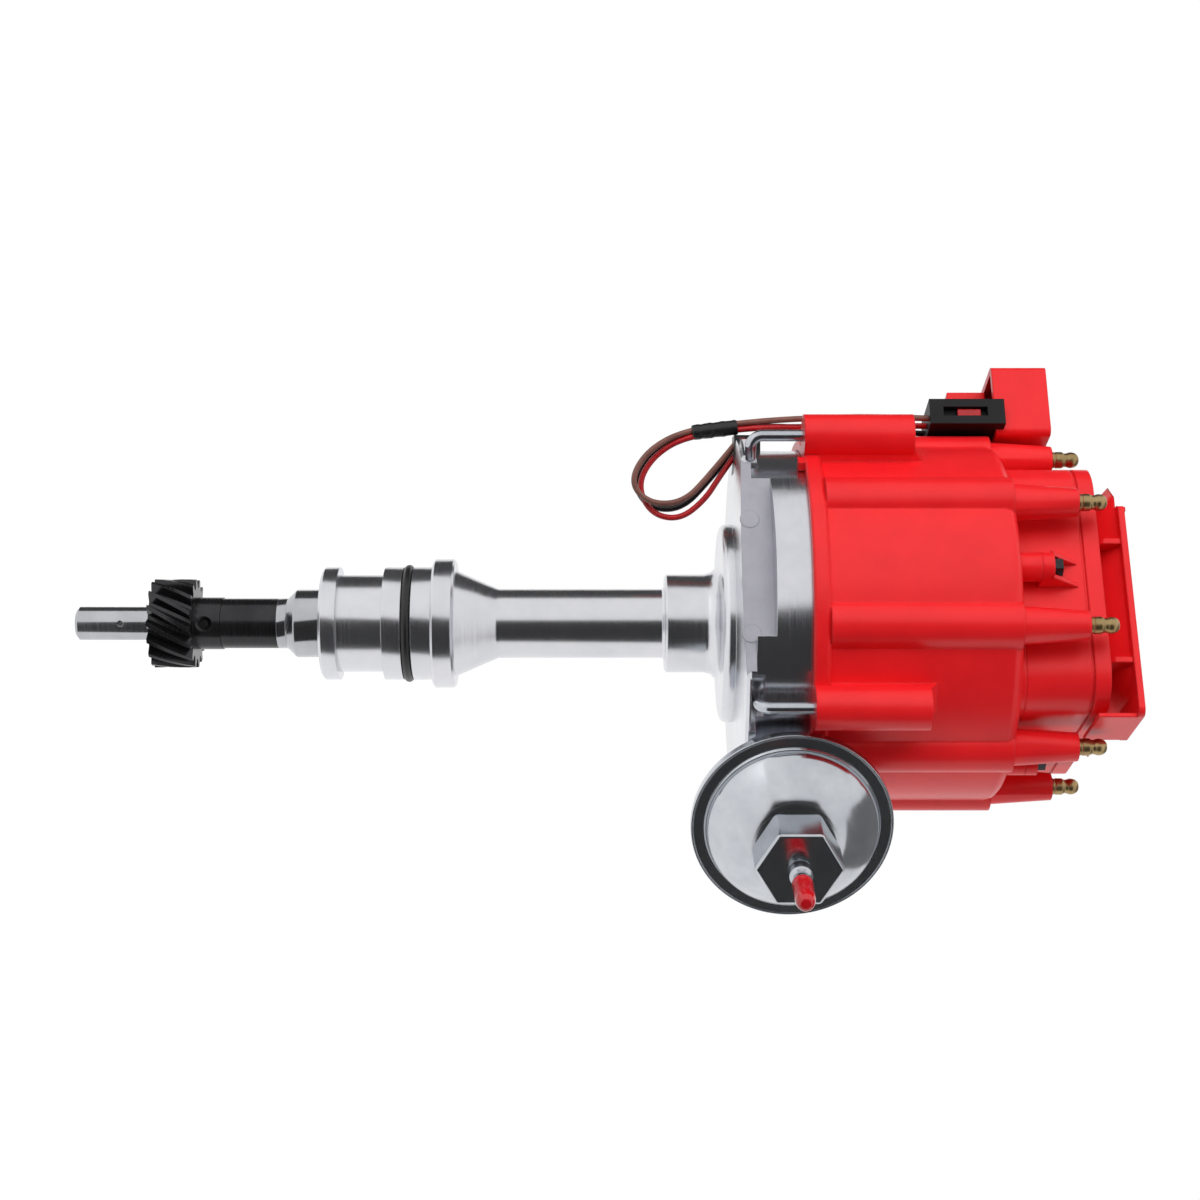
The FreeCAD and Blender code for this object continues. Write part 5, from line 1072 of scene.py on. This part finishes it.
@dataclass
class Cap:
    """The red cap with its brass terminals and four latches.

    A latch's rod starts rod_top under its head and narrows by rod_tip_r over its last rod_tip, in millimetres.
    """

    tower_pitch_r: float = 59.3
    tower_top_z: float = 223.8
    tower_count: int = 8
    first_tower: float = 0.0
    electrode: tuple[float, float, float, float] = (-5.5, -3.5, 166.0, 172.0)
    latch_angles: tuple[float, ...] = (-67.5, -157.5, 112.5, 22.5)
    latch_pitch_r: float = 71.5
    latch_top_z: float = 168.6
    latch_foot_z: float = 113.05
    latch_bend_r: float = 4.0
    latch_reach: float = 11.2
    bend_steps: int = 8
    rod_r: float = 2.0
    rod_top: float = 3.0
    rod_tip: float = 0.7
    rod_tip_r: float = 0.6
    head_r: float = 5.4
    head_height: float = 4.0
    slot_depth: float = 1.6
    slot_half: float = 0.7

    def build(self, tree: bpy.types.GeometryNodeTree) -> None:
        """Makes the cap, then the terminals and the latches.

        Args:
            tree: the tree that sets copies round the shaft.
        """
        cap = smooth_copy("distributor_cap", "distributor_cap_moulded", 34)
        placed(cap, Finishes.RED_MOULDING, "red_plastic", "distributor_cap")
        self.terminals(tree)
        for number, angle in enumerate(self.latch_angles, 1):
            self.latch(number, angle)

    def terminals(self, tree: bpy.types.GeometryNodeTree) -> None:
        """Turns one terminal with its electrode and sets a ring of them on the towers.

        Args:
            tree: the tree that sets copies round the shaft.
        """
        top = self.tower_top_z
        shape = revolved("cap_terminals_turned", [
            (0, 167.0), (2.3, 167.0), (2.3, top - 1.0), (3.0, top - 1.0), (3.0, top + 1.1, 0.15), (2.8, top + 1.3, 0.1),
            (2.8, top + 1.6, 0.1), (3.0, top + 1.8, 0.15), (3.0, top + 4.2, 0.5), (2.5, top + 4.8, 0.5),
            (2.45, top + 5.8, 0.6), (2.8, top + 6.6, 0.8), (2.95, top + 7.6, 0.9), (2.5, top + 9.2, 1.0),
            (1.4, top + 10.2, 0.7), (0, top + 10.2),
        ], SHAFT_AXES, 36)
        x0, y0, z0, z1 = self.electrode
        blade = cushion_block("electrode", (x0, y0, z0), (0, -y0, z1), SHAFT_AXES, 0.4)
        made = ring_of(
            joined([shape, blade]), tree, self.tower_count, self.tower_pitch_r * MM, self.first_tower,
            Finishes.BRASS.material(),
        )
        placed(made, None, "brass", "cap_terminals")

    def latch(self, number: int, angle: float) -> None:
        """Makes one hook latch: slotted head, rod and bent foot.

        Args:
            number: its number round the cap.
            angle: where it stands about the shaft, in degrees.
        """
        out, up, bend_r = heading(angle), Vector((0, 0, 1)), self.latch_bend_r
        axis, top, foot = out * self.latch_pitch_r, self.latch_top_z, up * self.latch_foot_z
        bend = foot + up * bend_r
        path = [axis + up * (top - self.rod_top), axis + bend]
        for step in range(1, self.bend_steps + 1):
            turn = math.radians(90 * step / self.bend_steps)
            path.append(axis + bend + out * bend_r * (math.cos(turn) - 1) - up * bend_r * math.sin(turn))
        tip = self.latch_pitch_r + self.rod_r - self.latch_reach
        path += [out * (tip + self.rod_tip) + foot, out * tip + foot]
        radii = [self.rod_r] * (len(path) - 1) + [self.rod_r - self.rod_tip_r]
        rod = swept("latch_%d_plated" % number, path, radii)
        place, r, low = axes(axis, out, up), self.head_r, top - self.head_height
        head = revolved("latch_head", [(0, low), (r, low, 0.4), (r, top, 0.7), (0, top)], place, 48)
        half, past = self.slot_half, r + 1.6
        slot = cushion_block("slot", (-past, -half, top - self.slot_depth), (past, half, top + 1), place, 0.1)
        cut_by(head, slot).data.set_sharp_from_angle(angle=math.radians(30))
        made = joined([rod, head])
        placed(made, Finishes.ZINC_PLATE, "zinc", "latch_%d" % number, body="latch_body_%d" % number)


@dataclass
class CoilCover:
    """The coil's red cover with its screws."""

    pieces: tuple[tuple[str, str, Finishes, str], ...] = (
        ("coil_cover", "coil_cover_moulded", Finishes.RED_MOULDING, "red_plastic"),
        ("coil_cover_screws", "coil_cover_screws_black", Finishes.BLACK_OXIDE, "black_steel"),
    )

    def build(self) -> None:
        """Makes the cover and its screws smooth and gives them their finish."""
        for node, name, finish, slot in self.pieces:
            placed(smooth_copy(node, name, 34), finish, slot, node)


# Vacuum canister


@dataclass
class Canister:
    """The vacuum canister: two spun shells, a hexagon, a nozzle and its dust cap."""

    rear_s: float = 63.49
    rear_r: float = 18.0
    rim_from_rear: float = 8.0
    top_from_rear: float = 24.5
    rim_r: float = 34.48
    crimp: float = 2.6
    sheet: float = 1.2
    hex_flats: float = 26.0
    hex_length: float = 14.0
    hex_edge: float = 1.1
    nozzle_length: float = 18.0
    nozzle_r: float = 2.7
    bore_r: float = 1.4
    cap_r: float = 3.55
    cap_start: float = 8.0
    cap_length: float = 13.9

    def build(self) -> None:
        """Makes the shells, the hexagon, the nozzle and the dust cap."""
        rim, top = self.rear_s + self.rim_from_rear, self.rear_s + self.top_from_rear
        nose, end = top + self.hex_length, top + self.hex_length + self.nozzle_length
        self.front(rim, top)
        self.rear(rim)
        self.hexagon(top, nose)
        nozzle = revolved("canister_nozzle_turned", [
            (self.bore_r, top), (self.nozzle_r, top), (self.nozzle_r, nose), (3.9, nose, 0.2), (3.9, nose + 4.2, 0.5),
            (self.nozzle_r, nose + 5.0), (self.nozzle_r, end - 1.0, 0.3), (2.1, end, 0.3), (self.bore_r, end),
        ], CANISTER_AXES, 48, closed=True)
        placed(nozzle, Finishes.SPUN_ZINC, "zinc", "canister_nozzle")
        start = nose + self.cap_start
        finish = start + self.cap_length
        cap = revolved("dust_cap_dipped", [
            (0, end + 0.3), (2.78, end + 0.3), (2.78, start), (3.3, start, 0.2), (self.cap_r, start + 0.8, 0.5),
            (3.4, start + 2.6, 0.8), (3.4, finish - 2.6, 2.0), (2.4, finish - 0.1, 1.8), (0, finish),
        ], CANISTER_AXES, 48)
        placed(cap, Finishes.DIPPED_VINYL, "red_vinyl", "dust_cap", body="nozzle_cap")

    def hexagon(self, top: float, nose: float) -> None:
        """Makes the hexagon with eased corners and front edges and the nozzle's bore.

        Args:
            top: where it stands on the dome, in millimetres.
            nose: where its front face lies.
        """
        corner = self.hex_flats / 2 / math.cos(math.radians(30))
        turns = [math.radians(60 * k) for k in range(6)]
        shape = bmesh.new()
        low, high = (
            [shape.verts.new((corner * math.cos(a), corner * math.sin(a), s)) for a in turns] for s in (top, nose)
        )
        for k in range(6):
            shape.faces.new((low[k], low[(k + 1) % 6], high[(k + 1) % 6], high[k]))
        shape.faces.new(low)
        shape.faces.new(high)
        eased_edges = [edge for edge in shape.edges if any(vertex in high for vertex in edge.verts)]
        bmesh.ops.bevel(shape, geom=eased_edges, offset=self.hex_edge, segments=4, profile=0.5, affect="EDGES")
        bmesh.ops.transform(shape, matrix=CANISTER_AXES, verts=shape.verts)
        bmesh.ops.recalc_face_normals(shape, faces=shape.faces)
        made = from_bmesh("canister_hex_machined", shape)
        r, low_s, high_s = self.nozzle_r, top - 1, nose + 1
        bore = revolved("bore", [(0, low_s), (r, low_s), (r, high_s), (0, high_s)], CANISTER_AXES, 48)
        cut_by(made, bore).data.set_sharp_from_angle(angle=math.radians(35))
        placed(weighted(made), Finishes.SPUN_ZINC, "zinc", "canister_hex")

    def front(self, rim: float, top: float) -> None:
        """Makes the domed front shell with its crimped edge.

        Args:
            rim: where the crimp lies along the canister's axis, in millimetres.
            top: where the dome meets the hexagon.
        """
        t, outer = self.sheet, self.rim_r
        inner = outer - self.crimp
        made = weighted(revolved("canister_front_shell_spun", [
            (inner - t, rim), (outer - t, rim), (outer - t, rim - t), (inner, rim - t), (inner, rim - 2 * t),
            (outer, rim - 2 * t, 0.6), (outer, rim + t, 0.5), (outer - 0.7, rim + t, 0.3),
            (outer - 0.9, rim + t - 0.3, 0.2), (29.6, rim + t - 0.3, 0.4), (29.0, rim + 4.4, 1.6),
            (24.5, rim + 9.6, 6.0), (16.6, top - 1.2, 3.0), (13.0, top, 1.0), (7.0, top), (7.0, top - t),
            (13.0, top - t), (16.0, top - t - 1.4, 2.0), (23.6, rim + 8.6, 5.0), (28.2, rim + 3.8, 1.5),
        ], CANISTER_AXES, 144, closed=True))
        placed(made, Finishes.SPUN_ZINC, "zinc", "canister_front_shell")

    def rear(self, rim: float) -> None:
        """Makes the rear shell.

        Args:
            rim: where the crimp lies along the canister's axis, in millimetres.
        """
        t, outer, start = self.sheet, self.rim_r, self.rear_s
        flat = outer - self.crimp
        made = revolved("canister_rear_shell_spun", [
            (5.5, start), (self.rear_r, start, 2.5), (flat, rim - 4.0, 2.5), (flat, rim - t), (outer - t, rim - t),
            (outer - t, rim), (flat - t, rim), (flat - t, rim - 3.6, 1.5), (self.rear_r - 0.6, start + t, 1.5),
            (5.5, start + t),
        ], CANISTER_AXES, 144, closed=True)
        placed(made, Finishes.SPUN_ZINC, "zinc", "canister_rear_shell")


# Works inside


@dataclass(frozen=True)
class Spring:
    """A coil spring, which on the real part shortens towards its fixed end as its joint moves, with sizes in
    millimetres; the piece made here keeps its shape.
    """

    node: str
    joint: str
    axis: Vector
    fixed_end: Vector
    length: float
    travel: float

    def build(self) -> None:
        """Makes the spring and gives it a mesh of its own."""
        made = smooth_copy(self.node, self.node + "_coiled", 40)
        placed(made, Finishes.PRESSED_STEEL, "steel", self.node)
        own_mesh(made)


SPRINGS = (
    Spring("button_spring", "button_press", Vector((0, 0, 1)), Vector((0, 0, 201.0)), 6.0, 1.5),
    Spring("canister_spring", "pull_rod_slide", CANISTER_AXIS, CANISTER_CENTRE + CANISTER_AXIS * 86.8, 20.0, 7.8),
)


@dataclass
class Works:
    """The parts inside, whose CAD shape stays and which only get their finish."""

    nodes: tuple[tuple[Finishes, tuple[str, ...]], ...] = (
        (Finishes.BRONZE, ("lower_bushing", "upper_bushing")),
        (Finishes.PRESSED_STEEL, (
            "pickup_clip", "latch_springs", "weight_base", "advance_spring_a", "advance_spring_b", "pickup_plate",
            "pole_piece",
        )),
        (Finishes.EPOXY, ("ignition_module", "coil_winding")),
        (Finishes.ZINC_PLATE, (
            "module_screws", "capacitor", "capacitor_screw", "coil_screws", "canister_bracket", "bracket_screws",
            "rotor_screws", "pull_rod",
        )),
        (Finishes.SINTERED_STEEL, ("coil_core", "advance_cam", "timer_core", "weight_a", "weight_b")),
        (Finishes.RUBBER, ("coil_seal", "diaphragm")),
        (Finishes.GROUND_STEEL, ("weight_pins",)),
        (Finishes.BLACK_MOULDING, ("rotor", "pickup_coil")),
        (Finishes.BRASS, ("rotor_contact",)),
        (Finishes.FERRITE, ("pickup_magnet",)),
        (Finishes.CARBON, ("cap_button",)),
    )

    def build(self) -> None:
        """Gives each inner node its finish and makes the springs."""
        for finish, nodes in self.nodes:
            for node in nodes:
                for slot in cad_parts[node].material_slots:
                    slot.material = finish.material()
                LOG.info("node %s in %s", node, finish.value.name)
        for spring in SPRINGS:
            spring.build()


def main() -> None:
    """Builds the studio and the cords first, then each sub-assembly in order."""
    Studio().build()
    tree = ring_tree()
    builders: list[tuple[str, Callable[[], None]]] = [
        ("harness", Harness().build), ("housing", Housing().build), ("drive train", DriveTrain().build),
        ("cap", lambda: Cap().build(tree)), ("coil cover", CoilCover().build), ("canister", Canister().build),
        ("works", Works().build),
    ]
    for name, build in builders:
        build()
        LOG.info("built the %s", name)
    bpy.context.scene.view_settings.view_transform = "Standard"


if __name__ == "__main__":
    main()
